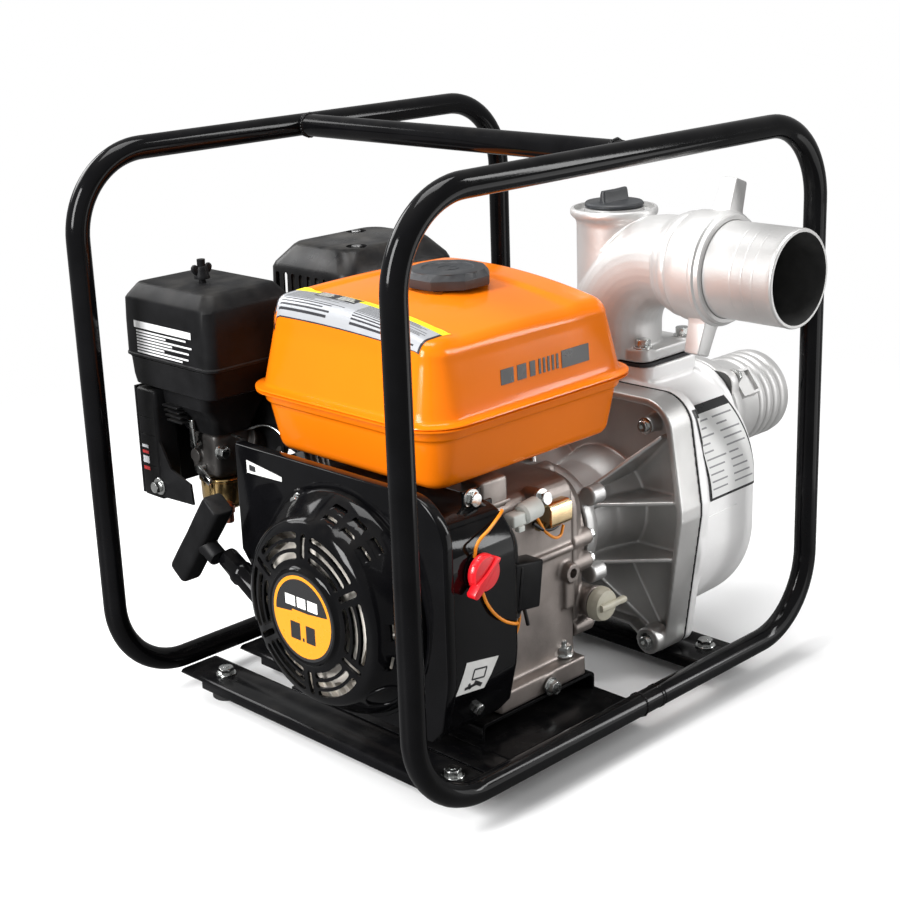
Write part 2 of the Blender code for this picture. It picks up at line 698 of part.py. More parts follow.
def hollow_box(name, low, high, bevel, wall, open_z, finish, segments=2):
    """A box shell that is open at the bottom when open_z is its low face, or at the top."""
    box = block(name, low, high, finish, bevel=bevel, segments=segments,
                edges=edges_not_at(2, open_z))
    low_open = abs(open_z - low[2]) < 1e-6
    inner_low = [low[0] + wall, low[1] + wall, low[2] - 0.01 if low_open else low[2] + wall]
    inner_high = [high[0] - wall, high[1] - wall, high[2] - wall if low_open else high[2] + 0.01]
    hollow_bevel = max(bevel - wall, 0.001)
    return cut(box, block(name + "_hollow", inner_low, inner_high, bevel=hollow_bevel))


def build_air_cleaner():
    x0, x1 = CLEANER_X
    y0, y1 = CLEANER_Y
    bottom, seam, top = CLEANER_Z
    middle = ((x0 + x1) / 2, (y0 + y1) / 2)
    cover = hollow_box("air_cleaner_cover", (x0, y0, seam + GAP), (x1, y1, top), 0.012, 0.0025,
                       seam + GAP, "black_plastic")
    stud_radius = 0.0028
    cut(cover, rod("cover_stud_hole", (*middle, top - 0.01), (*middle, top + 0.01), 0.0034,
                   sides=10))
    inset = 0.003
    tank_side = TANK_CENTRE[1] + TANK_HALF[1] + TANK_FLANGE + 0.0006
    base = hollow_box("air_cleaner_base", (x0 + inset, tank_side, bottom),
                      (x1 - inset, y1 - inset, seam), 0.008, 0.003, seam, "black_plastic", 1)
    stud = rod("cleaner_stud", (*middle, bottom + 0.001), (*middle, top + 0.010), stud_radius,
               sides=10)
    elbow = block("intake_elbow", (-0.162, 0.128, 0.2365), (-0.124, 0.168, bottom + 0.001))
    join(base, stud, elbow)
    cut(base, rod("intake_hole", (-0.143, 0.160, 0.23), (-0.143, 0.160, 0.290), 0.006, sides=12))
    turned("air_filter_element", ring_profile(0.036, 0.024, 0.046, 0.0),
           (*middle, seam + 0.004), Z_AXIS, "foam", closed=True, steps=24)
    knob = turned("air_cleaner_knob", [(0.0032, 0.014), (0.005, 0.014), (0.006, 0.010),
                                       (0.008, 0.002), (0.008, 0.0), (0.0032, 0.0)],
                  (*middle, top + GAP), Z_AXIS, "black_plastic", closed=True, steps=16)
    for side in (-1, 1):
        wing = block("knob_wing", (middle[0] + side * 0.009 - 0.0055, middle[1] - 0.0015, top + 0.004),
                     (middle[0] + side * 0.009 + 0.0055, middle[1] + 0.0015, top + 0.016))
        join(knob, wing)


def build_carburettor():
    body = block("carburettor", (-0.160, 0.130, 0.198), (-0.122, 0.165, 0.2360), "cast_aluminium",
                 bevel=0.003)
    stub = rod("intake_stub", (-0.125, 0.137, 0.222), (-0.0835, 0.137, 0.205), 0.0125,
               sides=14)
    neck = rod("bowl_neck", (-0.141, 0.148, 0.1955), (-0.141, 0.148, 0.202), 0.010, sides=14)
    join(body, stub, neck)
    bowl = turned("float_bowl", [(0, 0.030), (0.019, 0.030), (0.020, 0.026), (0.018, 0.008),
                                 (0.010, 0.002), (0.006, 0.0), (0, 0.0)],
                  (-0.141, 0.148, 0.165), Z_AXIS, "brass", steps=20)
    join(bowl, rod("bowl_drain", (-0.141, 0.148, 0.152), (-0.141, 0.148, 0.167), 0.0055, sides=6))
    block("control_panel", (-0.188, 0.170, 0.178), (-0.166, 0.198, 0.2735), "black_plastic",
          bevel=0.003)
    pivots = {"choke_lever": (0.150, 0.226, 0.022), "fuel_cock_lever": (0.146, 0.206, 0.018)}
    for name, (y, z, length) in pivots.items():
        pivot = (-0.166, y, z)
        arm = block(name, (-0.1685, y - 0.003, z - 0.003), (-0.1655, y + 0.003, z + length),
                    "steel", pivot=pivot)
        if name == "fuel_cock_lever":
            arm.data.transform(Matrix.Rotation(math.radians(120), 4, "X"))
        pin = rod(name + "_pin", (-0.1670, y, z), (-0.1603, y, z), 0.0032, sides=10)
        join(arm, pin)


def build_throttle():
    pivot = (-0.150, 0.064, HOUSING_TOP + GAP)
    lever = block("throttle_lever", (pivot[0] - 0.004, pivot[1] - 0.008, pivot[2] + 0.002),
                  (pivot[0] + 0.004, pivot[1] + 0.045, pivot[2] + 0.005), "black_plastic",
                  bevel=0.0012, pivot=pivot)
    washer = rod("throttle_washer", pivot, (pivot[0], pivot[1], pivot[2] + 0.004), 0.0065,
                 sides=14)
    tab = block("throttle_tab", (pivot[0] - 0.005, pivot[1] + 0.040, pivot[2] + 0.002),
                (pivot[0] + 0.005, pivot[1] + 0.046, pivot[2] + 0.012))
    join(lever, washer, tab)


def build_muffler():
    x0, x1 = MUFFLER_X
    y0, y1 = MUFFLER_Y
    bottom, top = MUFFLER_Z
    body = block("muffler", (x0 + 0.012, y0 + 0.012, bottom - 0.022),
                 (x1 - 0.012, y1 - 0.012, top - 0.020), "black_paint", bevel=0.010, segments=2)
    pipe = tube("exhaust_pipe", [(0.0268, 0.126, 0.215), (0.050, 0.130, 0.222), (0.055, 0.140, 0.290)],
                0.011)
    join(body, pipe)
    guard = hollow_box("muffler_guard", (x0, y0, bottom), (x1, y1, top), 0.015, 0.002, bottom,
                       "black_plastic", 1)
    for i in range(7):
        y = y0 + 0.020 + i * 0.0115
        slot = block(f"guard_slot_{i}", (x0 - 0.01, y, bottom + 0.020),
                     (x0 + 0.006, y + 0.005, top - 0.017))
        cut(guard, slot)


def build_engine_small_parts():
    switch = (-0.143, -0.1540, 0.184)
    rod("engine_switch_body", (switch[0], switch[1], switch[2]),
        (switch[0], switch[1] - 0.006, switch[2]), 0.012, "black_plastic", sides=18)
    face = switch[1] - 0.006 - GAP
    knob = rod("engine_switch_knob", (switch[0], face, switch[2]),
               (switch[0], face - 0.010, switch[2]), 0.0135, "red_plastic", end_radius=0.0125,
               pivot=(switch[0], face, switch[2]))
    bar = block("knob_bar", (-0.003, -0.014, -0.0185), (0.003, -0.002, 0.0115))
    bar.matrix_local = (Matrix.Translation((switch[0], face, switch[2]))
                        @ Matrix.Rotation(math.radians(48), 4, "Y"))
    join(knob, bar)
    block("oil_alert_unit", (-0.084, -0.1330, 0.108), (-0.044, CASE_Y[0] - GAP, 0.162),
          "black_plastic", bevel=0.002)
    cap = rod("oil_dipstick_cap", (0.031, -0.1178, 0.094), (0.031, -0.128, 0.094), 0.0145,
              "grey_plastic", end_radius=0.0125, pivot=(0.031, -0.1178, 0.094))
    tab = block("dipstick_tab", (0.031, -0.133, 0.0915), (0.053, -0.124, 0.0965))
    stick = rod("dipstick_stem", (0.031, -0.1045, 0.094), (0.031, -0.120, 0.094), 0.0070,
                sides=12)
    join(cap, tab, stick)
    drain = rod("oil_drain_bolt", (-0.032, -0.1203, 0.0425), (-0.032, -0.1225, 0.0425), 0.0095,
                "steel", sides=18)
    join(drain, rod("drain_hex", (-0.032, -0.121, 0.0425), (-0.032, -0.129, 0.0425), 0.0072,
                    sides=6))


# ---------------------------------------------------------------- pump
def flange_outline(inset):
    """Outline of the pump joint in Y, Z about the crank: wide at the waist, lugs at the bottom."""
    waist, waist_z = FLANGE_WAIST
    top_radius = 0.030 - inset
    top_y = waist - 0.010
    lug_y, lug_z = LUG_OFFSET
    half = arc((top_y - 0.030, FLANGE_TOP - 0.030), top_radius, 90, 15, 3)
    half += [(waist - inset, waist_z)]
    half += arc((lug_y, lug_z), LUG_RADIUS - inset / 3, 0, -110, 4)
    half += [(0.040, lug_z + 0.004 + inset / 2)]
    near = [(-y, z) for y, z in reversed(half)]
    return [(y, z - CRANK_Z) for y, z in half + near]


def crank_rib(name, length, degrees, height=0.0):
    """A web on the bracket's boss, turned from straight up towards the near side."""
    outline = [(0.012, 0.020), (0.039, 0.022), (length, 0.070), (length, 0.0905), (0.012, 0.0905)]
    rib = prism(name, outline, 0.004, (0, 0, 0), Y_AXIS, up=X_AXIS, pivot=(0, 0, 0))
    place = Matrix.Translation((COVER_X[1] + GAP, CRANK_Y, CRANK_Z + height))
    rib.matrix_local = place @ Matrix.Rotation(math.radians(degrees), 4, "X")
    return rib


def build_pump_bracket():
    """Adaptor between engine and pump: flanged plate with a raised rim, centre boss and ribs."""
    depth = FLANGE_X[1] - FLANGE_X[0]
    bracket = prism("pump_bracket", flange_outline(0), depth,
                    (sum(FLANGE_X) / 2, CRANK_Y, CRANK_Z), X_AXIS, finish="cast_aluminium")
    pocket = prism("bracket_pocket", flange_outline(0.009), 0.040,
                   (FLANGE_X[1] - 0.006 - 0.020, CRANK_Y, CRANK_Z), X_AXIS)
    cut(bracket, pocket)
    engine_face = COVER_X[1] + GAP
    boss = turned("bracket_boss", [(0, 0.091), (0.040, 0.091), (0.040, 0.020), (0.050, 0.014),
                                   (0.052, 0.008), (0.052, 0.0), (0, 0.0)],
                  (engine_face, CRANK_Y, CRANK_Z), X_AXIS, steps=24)
    join(bracket, boss)
    for side in (-1, 1):
        name = "near" if side > 0 else "far"
        join(bracket,
             crank_rib(f"{name}_top_rib", 0.106, side * 45),
             crank_rib(f"{name}_lug_rib", 0.122, side * 148),
             crank_rib(f"{name}_upper_rib", 0.090, side * 90, 0.018),
             crank_rib(f"{name}_lower_rib", 0.088, side * 90, -0.033))
    bore = crank_rod("bracket_bore", engine_face - 0.01, FLANGE_X[1] + 0.01, 0.0168)
    return cut(bracket, bore)


def build_casing():
    x0, x1, x2 = CASING_X

    def drum(name, inset, start, end, finish=None):
        half_y = CASING_HALF[0] - inset
        half_z = CASING_HALF[1] - inset
        return block(name, (start, CRANK_Y - half_y, CASING_Z - half_z),
                     (end, CRANK_Y + half_y, CASING_Z + half_z), finish, bevel=0.088 - inset,
                     segments=7, edges=edges_along(0))

    casing = drum("pump_casing", 0, x0 + 0.004, x2, "cast_aluminium")
    flange = prism("casing_flange", flange_outline(0), x1 - x0,
                   ((x0 + x1) / 2, CRANK_Y, CRANK_Z), X_AXIS)
    pad = block("outlet_pad", (OUTLET_X - 0.0165, OUTLET_Y - 0.052, 0.20),
                (OUTLET_X + 0.051, OUTLET_Y + 0.052, OUTLET_PAD_Z), bevel=0.010,
                edges=edges_along(2))
    port_face = rod("suction_boss", (x2 - 0.010, SUCTION_Y, SUCTION_Z),
                    (SUCTION_FACE, SUCTION_Y, SUCTION_Z), 0.050)
    join(casing, flange, pad, port_face)
    wall = 0.006
    hollow = drum("casing_hollow", wall, x0 - 0.01, x2 - wall)
    inlet = rod("suction_opening", (x2 - 0.02, SUCTION_Y, SUCTION_Z), (x2 + 0.02, SUCTION_Y, SUCTION_Z),
                0.030)
    outlet = rod("outlet_opening", (OUTLET_X + 0.012, OUTLET_Y, 0.20),
                 (OUTLET_X + 0.012, OUTLET_Y, OUTLET_PAD_Z + 0.01), 0.030)
    drain = rod("drain_opening", (x2 - 0.02, CRANK_Y, 0.056), (x2 + 0.02, CRANK_Y, 0.056), 0.0080,
                sides=12)
    cut(casing, hollow, inlet, outlet, drain)
    plug = rod("casing_drain_plug", (x2 + GAP, CRANK_Y, 0.056), (x2 + 0.009, CRANK_Y, 0.056), 0.012,
               "steel", sides=6)
    join(plug, rod("drain_plug_thread", (x2 - 0.008, CRANK_Y, 0.056), (x2 + 0.004, CRANK_Y, 0.056),
                   0.0072, sides=12))


def build_pump_internals():
    turned("mechanical_seal", ring_profile(0.0160, 0.0099, 0.011, 0.0), (0.1305, CRANK_Y, CRANK_Z),
           X_AXIS, "seal_black", closed=True, steps=20)
    impeller = turned("impeller", [(0.0098, 0.028), (0.017, 0.028), (0.018, 0.004), (0.060, 0.004),
                                   (0.060, 0.0), (0.0098, 0.0)],
                      (0.1500, CRANK_Y, CRANK_Z), X_AXIS, "cast_aluminium", closed=True, steps=20)
    vanes = 5
    for i in range(vanes):
        sweep = [(0.0145 + 0.0425 * t, 1.2 * t) for t in (0, 0.25, 0.5, 0.75, 1)]
        outer = [(r * math.cos(a), r * math.sin(a)) for r, a in sweep]
        inner = [(r * math.cos(a + 0.09), r * math.sin(a + 0.09)) for r, a in reversed(sweep)]
        vane = prism(f"impeller_vane_{i}", outer + inner, 0.020, (0, 0, 0), X_AXIS,
                     pivot=(0, 0, 0))
        vane.matrix_local = (Matrix.Translation((0.1635, CRANK_Y, CRANK_Z))
                             @ Matrix.Rotation(math.tau * i / vanes, 4, "X"))
        join(impeller, vane)
    turned("inner_volute", [(0.024, 0.036), (0.078, 0.036), (0.082, 0.0), (0.076, 0.0),
                            (0.073, 0.031), (0.024, 0.031)],
           (0.1450, CRANK_Y, CRANK_Z), X_AXIS, "cast_aluminium", closed=True, steps=24)
    hinge = Vector((CASING_X[2] - 0.0095, SUCTION_Y, SUCTION_Z + 0.029))
    flap = rod("check_valve_flap", (hinge.x - 0.0015, SUCTION_Y, SUCTION_Z),
               (hinge.x + 0.0028, SUCTION_Y, SUCTION_Z), 0.029, "rubber", pivot=hinge, sides=24)
    return flap


def barb_profile(length, base_radius):
    """Hose tail: two ridges towards the open end, with a bore right through."""
    ridge = PORT_RADIUS
    valley = ridge - 0.002
    profile = [(PORT_BORE, length), (ridge - 0.001, length)]
    for i in range(2):
        z = length - 0.008 - i * 0.014
        profile += [(ridge, z), (ridge, z - 0.006), (valley, z - 0.008)]
    profile += [(valley, base_radius[1]), (base_radius[0], base_radius[1]), (base_radius[0], 0),
                (PORT_BORE, 0)]
    return profile


def build_suction_port():
    start = SUCTION_FACE + GAP
    port = turned("suction_port", barb_profile(SUCTION_END - start, (0.052, 0.012)),
                  (start, SUCTION_Y, SUCTION_Z), X_AXIS, "cast_aluminium", closed=True, steps=24)
    lugs = block("suction_lugs", (start, SUCTION_Y - 0.044, SUCTION_Z - 0.044),
                 (start + 0.010, SUCTION_Y + 0.044, SUCTION_Z + 0.044), bevel=0.012,
                 edges=edges_along(0), segments=2)
    join(port, lugs)
    cut(port, rod("suction_bore", (start - 0.01, SUCTION_Y, SUCTION_Z),
                  (start + 0.03, SUCTION_Y, SUCTION_Z), PORT_BORE, sides=24))


NUT_Y = (-0.112, -0.148)
COLLAR_Y = -0.140


def elbow_path(end_y):
    """Centre line of the discharge bend, from the casing pad up and round to the -Y leg."""
    bend = 0.060
    x = OUTLET_X
    start_y = OUTLET_Y
    turn = arc((start_y - bend, DISCHARGE_Z - bend), bend, 0, 90, 7)
    points = [(x, start_y, OUTLET_PAD_Z + 0.004)]
    points += [(x, y, z) for y, z in turn]
    points += [(x, end_y, DISCHARGE_Z)]
    return points


def build_discharge():
    pad_top = OUTLET_PAD_Z
    gasket_top = pad_top + GAP + 0.003
    gasket = block("outlet_gasket", (OUTLET_X - 0.025, OUTLET_Y - 0.050, pad_top + GAP),
                   (OUTLET_X + 0.050, OUTLET_Y + 0.050, gasket_top), "rubber", bevel=0.010,
                   edges=edges_along(2))
    cut(gasket, rod("gasket_hole", (OUTLET_X + 0.012, OUTLET_Y, pad_top - 0.01),
                    (OUTLET_X + 0.012, OUTLET_Y, pad_top + 0.02), 0.030))
    base = gasket_top + GAP
    elbow = block("discharge_elbow", (OUTLET_X - 0.025, OUTLET_Y - 0.050, base),
                  (OUTLET_X + 0.050, OUTLET_Y + 0.050, base + 0.010), "cast_aluminium",
                  bevel=0.010, edges=edges_along(2))
    end = COLLAR_Y + GAP
    outer = tube("elbow_outer", elbow_path(end), 0.0390, resolution=4)
    neck = turned("priming_neck", [(0, NECK_TOP), (0.0365, NECK_TOP), (0.0375, NECK_TOP - 0.004),
                                   (0.0365, NECK_TOP - 0.008), (0.0325, NECK_TOP - 0.010),
                                   (0.0325, base + 0.001), (0, base + 0.001)],
                  (OUTLET_X, OUTLET_Y + 0.003, 0), Z_AXIS, steps=24)
    thread = rod("elbow_thread", (OUTLET_X, end, DISCHARGE_Z), (OUTLET_X, -0.100, DISCHARGE_Z),
                 0.0425, sides=24)
    ring = rod("elbow_ring", (OUTLET_X, NUT_Y[0] + GAP, DISCHARGE_Z),
               (OUTLET_X, NUT_Y[0] + 0.008, DISCHARGE_Z), 0.0445, sides=24)
    join(elbow, outer, neck, thread, ring)
    hollow_points = [(OUTLET_X, OUTLET_Y, base - 0.01)] + elbow_path(end - 0.02)[1:]
    hollow = tube("elbow_hollow", hollow_points, 0.0340, resolution=4)
    neck_bore = rod("neck_bore", (OUTLET_X, OUTLET_Y + 0.003, 0.330),
                    (OUTLET_X, OUTLET_Y + 0.003, NECK_TOP + 0.01), 0.0225)
    cut(elbow, hollow, neck_bore)
    cap_z = NECK_TOP + GAP
    cap = rod("priming_cap", (OUTLET_X, OUTLET_Y + 0.003, cap_z), (OUTLET_X, OUTLET_Y + 0.003, cap_z + 0.004),
              0.0255, "black_plastic", pivot=(OUTLET_X, OUTLET_Y + 0.003, cap_z), sides=24)
    plug = rod("priming_plug", (OUTLET_X, OUTLET_Y + 0.003, cap_z - 0.014),
               (OUTLET_X, OUTLET_Y + 0.003, cap_z + 0.001), 0.0215)
    wing = block("priming_wing", (OUTLET_X - 0.017, OUTLET_Y, cap_z + 0.002),
                 (OUTLET_X + 0.017, OUTLET_Y + 0.006, cap_z + 0.015))
    join(cap, plug, wing)


def build_coupling():
    start, end = NUT_Y
    collar_end = start - COLLAR_Y + 0.0045 + GAP
    nut_profile = [(0.0409, start - end), (0.0450, start - end), (0.0480, start - end - 0.004),
                   (0.0480, 0.003), (0.0465, 0.0), (0.0432, 0.0), (0.0432, collar_end),
                   (0.0409, collar_end)]
    nut = turned("coupling_nut", nut_profile, (OUTLET_X, start, DISCHARGE_Z), -Y_AXIS,
                 "cast_aluminium", closed=True, steps=24)
    for i, angle in enumerate((20, 200)):
        lug = block(f"nut_lug_{i}", (-0.008, -0.007, 0.0455), (0.008, 0.007, 0.074), bevel=0.002)
        lug.matrix_local = (Matrix.Translation((OUTLET_X, start - 0.018, DISCHARGE_Z))
                            @ Matrix.Rotation(math.radians(angle), 4, "Y"))
        join(nut, lug)
    length = COLLAR_Y - DISCHARGE_END
    turned("discharge_hose_barb", barb_profile(length, (0.0428, 0.0045)),
           (OUTLET_X, COLLAR_Y, DISCHARGE_Z), -Y_AXIS, "cast_aluminium", closed=True, steps=24)


def build_all():
    build_frame()
    cylinder = cylinder_frame()
    build_crankcase(cylinder)
    build_side_cover()
    build_head(cylinder)
    build_crankshaft()
    build_piston(cylinder)
    build_flywheel()
    build_blower_housing()
    build_recoil()
    build_recoil_handle()
    build_tank()
    build_air_cleaner()
    build_carburettor()
    build_throttle()
    build_muffler()
    build_engine_small_parts()
    build_pump_bracket()
    build_casing()
    build_pump_internals()
    build_suction_port()
    build_discharge()
    build_coupling()
    bpy.context.view_layer.update()


build_all()
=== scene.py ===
"""Looks of the portable fire pump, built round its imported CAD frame. Metres, +Z up."""

import json
import math

import bmesh
import bpy
from mathutils import Matrix, Vector

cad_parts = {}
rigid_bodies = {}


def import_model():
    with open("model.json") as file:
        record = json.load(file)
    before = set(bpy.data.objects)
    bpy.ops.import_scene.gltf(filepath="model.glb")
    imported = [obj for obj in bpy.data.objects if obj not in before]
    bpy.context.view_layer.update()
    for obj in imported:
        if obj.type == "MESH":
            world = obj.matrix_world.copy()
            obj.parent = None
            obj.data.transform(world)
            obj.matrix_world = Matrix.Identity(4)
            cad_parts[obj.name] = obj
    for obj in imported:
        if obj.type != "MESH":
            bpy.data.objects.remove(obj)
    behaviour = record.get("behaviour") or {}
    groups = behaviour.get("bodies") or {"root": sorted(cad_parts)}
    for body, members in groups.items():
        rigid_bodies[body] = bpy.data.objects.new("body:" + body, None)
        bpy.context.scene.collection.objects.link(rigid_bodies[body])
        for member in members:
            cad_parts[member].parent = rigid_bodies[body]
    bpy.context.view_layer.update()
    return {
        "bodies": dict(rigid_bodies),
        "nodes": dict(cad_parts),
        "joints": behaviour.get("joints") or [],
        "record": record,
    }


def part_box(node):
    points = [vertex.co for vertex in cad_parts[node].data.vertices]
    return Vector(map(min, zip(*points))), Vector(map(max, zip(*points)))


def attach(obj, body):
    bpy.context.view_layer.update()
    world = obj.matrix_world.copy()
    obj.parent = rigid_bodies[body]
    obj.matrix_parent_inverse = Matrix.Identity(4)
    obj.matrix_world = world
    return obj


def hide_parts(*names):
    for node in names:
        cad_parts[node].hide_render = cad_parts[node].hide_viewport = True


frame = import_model()
scene = bpy.context.scene
X = Vector((1, 0, 0))
Y = Vector((0, 1, 0))
Z = Vector((0, 0, 1))

# Pieces are drawn about the middle of the tube frame, with the ground at Z 0, then moved by SHIFT.
near_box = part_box("near_hoop")
far_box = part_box("far_hoop")
SHIFT = Vector(((near_box[0].x + near_box[1].x) / 2, (near_box[0].y + far_box[1].y) / 2, 0))


def drawn(node):
    """Lowest and highest corner of a CAD node, in the coordinates that the pieces are drawn in."""
    low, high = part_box(node)
    return low - SHIFT, high - SHIFT


# ---------------------------------------------------------------- mesh helpers
def link(name, data):
    """Puts a mesh, a curve, a lamp or a camera in the scene."""
    obj = bpy.data.objects.new(name, data)
    scene.collection.objects.link(obj)
    return obj


def to_object(bm, name):
    mesh = bpy.data.meshes.new(name)
    bm.to_mesh(mesh)
    bm.free()
    return link(name, mesh)


def to_solid(bm, name):
    """An object whose faces all look outwards."""
    bmesh.ops.recalc_face_normals(bm, faces=bm.faces)
    return to_object(bm, name)


def bake(obj):
    """Applies an object's modifiers."""
    graph = bpy.context.evaluated_depsgraph_get()
    mesh = bpy.data.meshes.new_from_object(obj.evaluated_get(graph))
    obj.modifiers.clear()
    obj.data = mesh
    return obj


def box(name, low, high, bevel=0.0, segments=3, along=None):
    """A box between two corners; along picks the edges to round, 0 for those along X and so on."""
    bm = bmesh.new()
    low, high = Vector(low), Vector(high)
    place = Matrix.Translation((low + high) / 2) @ Matrix.Diagonal((*(high - low), 1))
    bmesh.ops.create_cube(bm, size=1, matrix=place)
    if bevel:
        edges = [e for e in bm.edges if along is None
                 or abs((e.verts[1].co - e.verts[0].co).normalized()[along]) > 0.9]
        bmesh.ops.bevel(bm, geom=edges, offset=bevel, segments=segments, affect="EDGES", profile=0.5,
                        clamp_overlap=True)
    return to_solid(bm, name)


def axes_of(axis):
    """Two directions across an axis, so that across, up and axis are right handed."""
    axis = Vector(axis).normalized()
    up = Z if abs(axis.z) < 0.9 else Y
    across = up.cross(axis).normalized()
    return across, axis.cross(across).normalized(), axis


def lathe(name, profile, centre, axis=Z, steps=64, closed=False):
    """Turns (radius, height) points round an axis through centre."""
    across, up, axis = axes_of(axis)
    centre = Vector(centre)
    bm = bmesh.new()
    rings = []
    for radius, height in profile:
        base = centre + axis * height
        if radius < 1e-7:
            rings.append([bm.verts.new(base)])
            continue
        ring = []
        for i in range(steps):
            angle = math.tau * i / steps
            ring.append(bm.verts.new(base + (across * math.cos(angle) + up * math.sin(angle)) * radius))
        rings.append(ring)
    pairs = list(zip(rings, rings[1:]))
    if closed:
        pairs.append((rings[-1], rings[0]))
    for first, second in pairs:
        for i in range(steps):
            corners = [first[i - 1], first[i]] if len(first) > 1 else [first[0]]
            corners += [second[i], second[i - 1]] if len(second) > 1 else [second[0]]
            if len(corners) > 2:
                bm.faces.new(corners)
    return to_solid(bm, name)


def rod(name, start, end, radius, sides=40, chamfer=0.0):
    """A solid round bar between two points, with ends that may be chamfered."""
    along = Vector(end) - Vector(start)
    length = along.length
    profile = [(0, 0), (radius, 0), (radius, length), (0, length)]
    if chamfer:
        profile[1:3] = [(radius - chamfer, 0), (radius, chamfer), (radius, length - chamfer),
                        (radius - chamfer, length)]
    return lathe(name, profile, start, along, sides)


def prism(name, outline, depth, centre, normal, up=Z):
    """A flat outline of (across, up) points, thickened both ways along its normal."""
    normal, up = Vector(normal).normalized(), Vector(up).normalized()
    across = up.cross(normal)
    bm = bmesh.new()
    rings = []
    for side in (-0.5, 0.5):
        middle = Vector(centre) + normal * depth * side
        rings.append([bm.verts.new(middle + across * u + up * v) for u, v in outline])
    bm.faces.new(rings[0][::-1])
    bm.faces.new(rings[1])
    for i in range(len(outline)):
        bm.faces.new((rings[0][i - 1], rings[0][i], rings[1][i], rings[1][i - 1]))
    return to_solid(bm, name)


def loft(name, rings):
    """Skins rings that have the same number of points, and caps both ends."""
    bm = bmesh.new()
    made = [[bm.verts.new(point) for point in ring] for ring in rings]
    for first, second in zip(made, made[1:]):
        for i in range(len(first)):
            bm.faces.new((first[i - 1], first[i], second[i], second[i - 1]))
    bm.faces.new(made[0][::-1])
    bm.faces.new(made[-1])
    return to_solid(bm, name)


def arc(centre, radius, start, end, steps):
    angles = [math.radians(start + (end - start) * i / steps) for i in range(steps + 1)]
    return [(centre[0] + radius * math.cos(a), centre[1] + radius * math.sin(a)) for a in angles]


def rounded_rectangle(half_width, half_height, radius, steps=8, sides=1):
    """Outline of a rectangle with round corners; sides is how many pieces each straight run has."""
    points = []
    for sx, sy, start in ((1, 1, 0), (-1, 1, 90), (-1, -1, 180), (1, -1, 270)):
        corner = arc((sx * (half_width - radius), sy * (half_height - radius)), radius, start, start + 90,
                     steps)
        if points:
            points += between(points[-1], corner[0], sides)
        points += corner
    return points + between(points[-1], points[0], sides)


def between(first, second, pieces):
    """The points that split a straight run, without its ends."""
    return [(first[0] + (second[0] - first[0]) * i / pieces, first[1] + (second[1] - first[1]) * i / pieces)
            for i in range(1, pieces)]


def level(outline, centre, height):
    """An (x, y) outline laid flat at a height over a centre."""
    return [Vector(centre) + Vector((u, v, height)) for u, v in outline]


def tube(name, points, radius, cyclic=False, sides=24, smooth=False):
    """A round tube along a line of points; smooth lets the line curve between them."""
    curve = bpy.data.curves.new(name, "CURVE")
    curve.dimensions = "3D"
    curve.bevel_depth = radius
    curve.bevel_resolution = sides // 4
    curve.use_fill_caps = not cyclic
    kind = "BEZIER" if smooth else "POLY"
    spline = curve.splines.new(kind)
    if smooth:
        curve.resolution_u = 10
        spline.bezier_points.add(len(points) - 1)
        for knot, point in zip(spline.bezier_points, points):
            knot.co = point
            knot.handle_left_type = "AUTO"
            knot.handle_right_type = "AUTO"
    else:
        spline.points.add(len(points) - 1)
        for knot, point in zip(spline.points, points):
            knot.co = (*point, 1)
    spline.use_cyclic_u = cyclic
    holder = link(name, curve)
    graph = bpy.context.evaluated_depsgraph_get()
    mesh = bpy.data.meshes.new_from_object(holder.evaluated_get(graph))
    bpy.data.objects.remove(holder)
    bm = bmesh.new()
    bm.from_mesh(mesh)
    bmesh.ops.remove_doubles(bm, verts=bm.verts, dist=1e-6)
    return to_solid(bm, name)


def merge(name, *parts):
    """One mesh from several; parts that overlap stay as they are."""
    bm = bmesh.new()
    for part in parts:
        part.data.transform(part.matrix_basis)
        bm.from_mesh(part.data)
        bpy.data.objects.remove(part)
    return to_solid(bm, name)


def boolean(obj, tools, operation="DIFFERENCE", solver="EXACT"):
    for tool in tools:
        modifier = obj.modifiers.new("cut", "BOOLEAN")
        modifier.operation = operation
        modifier.solver = solver
        modifier.object = tool
    bake(obj)
    for tool in tools:
        bpy.data.objects.remove(tool)
    return obj


def cast(name, solids, cutters=(), voxel=0.0014, rounds=3):
    """A casting: overlapping solids fused into one skin with soft inside corners, then cut."""
    obj = merge(name, *solids)
    skin = obj.modifiers.new("skin", "REMESH")
    skin.mode = "VOXEL"
    skin.voxel_size = voxel * 1.0
    relax = obj.modifiers.new("relax", "SMOOTH")
    relax.factor = 0.5
    relax.iterations = rounds
    bake(obj)
    if cutters:
        boolean(obj, list(cutters), solver="MANIFOLD")
    return obj


def turn(obj, axis, degrees, about=(0, 0, 0)):
    """Turns a drawn piece about a line."""
    place = Matrix.Translation(Vector(about))
    obj.data.transform(place @ Matrix.Rotation(math.radians(degrees), 4, Vector(axis)) @ place.inverted())
    return obj


def repeat(count, make, axis, centre):
    """Makes a part once for each place round an axis."""
    return [turn(make(), axis, 360.0 / count * i, centre) for i in range(count)]


def round_edges(obj, width, segments=2, angle=35):
    bevel = obj.modifiers.new("edges", "BEVEL")
    bevel.width = width
    bevel.segments = segments
    bevel.limit_method = "ANGLE"
    bevel.angle_limit = math.radians(angle)
    return bake(obj)


def piece(obj, material, body="pump_set", cad=None, sharp=35):
    """Ends a drawn piece: its finish, shading and place, the body it rides on and the CAD node it stands for."""
    obj.data.transform(Matrix.Translation(SHIFT))
    obj.data.materials.clear()
    obj.data.materials.append(MATERIALS.get(material, material))
    obj.data.shade_smooth()
    obj.data.set_sharp_from_angle(angle=math.radians(sharp))
    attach(obj, body)
    if cad:
        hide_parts(cad)
    return obj


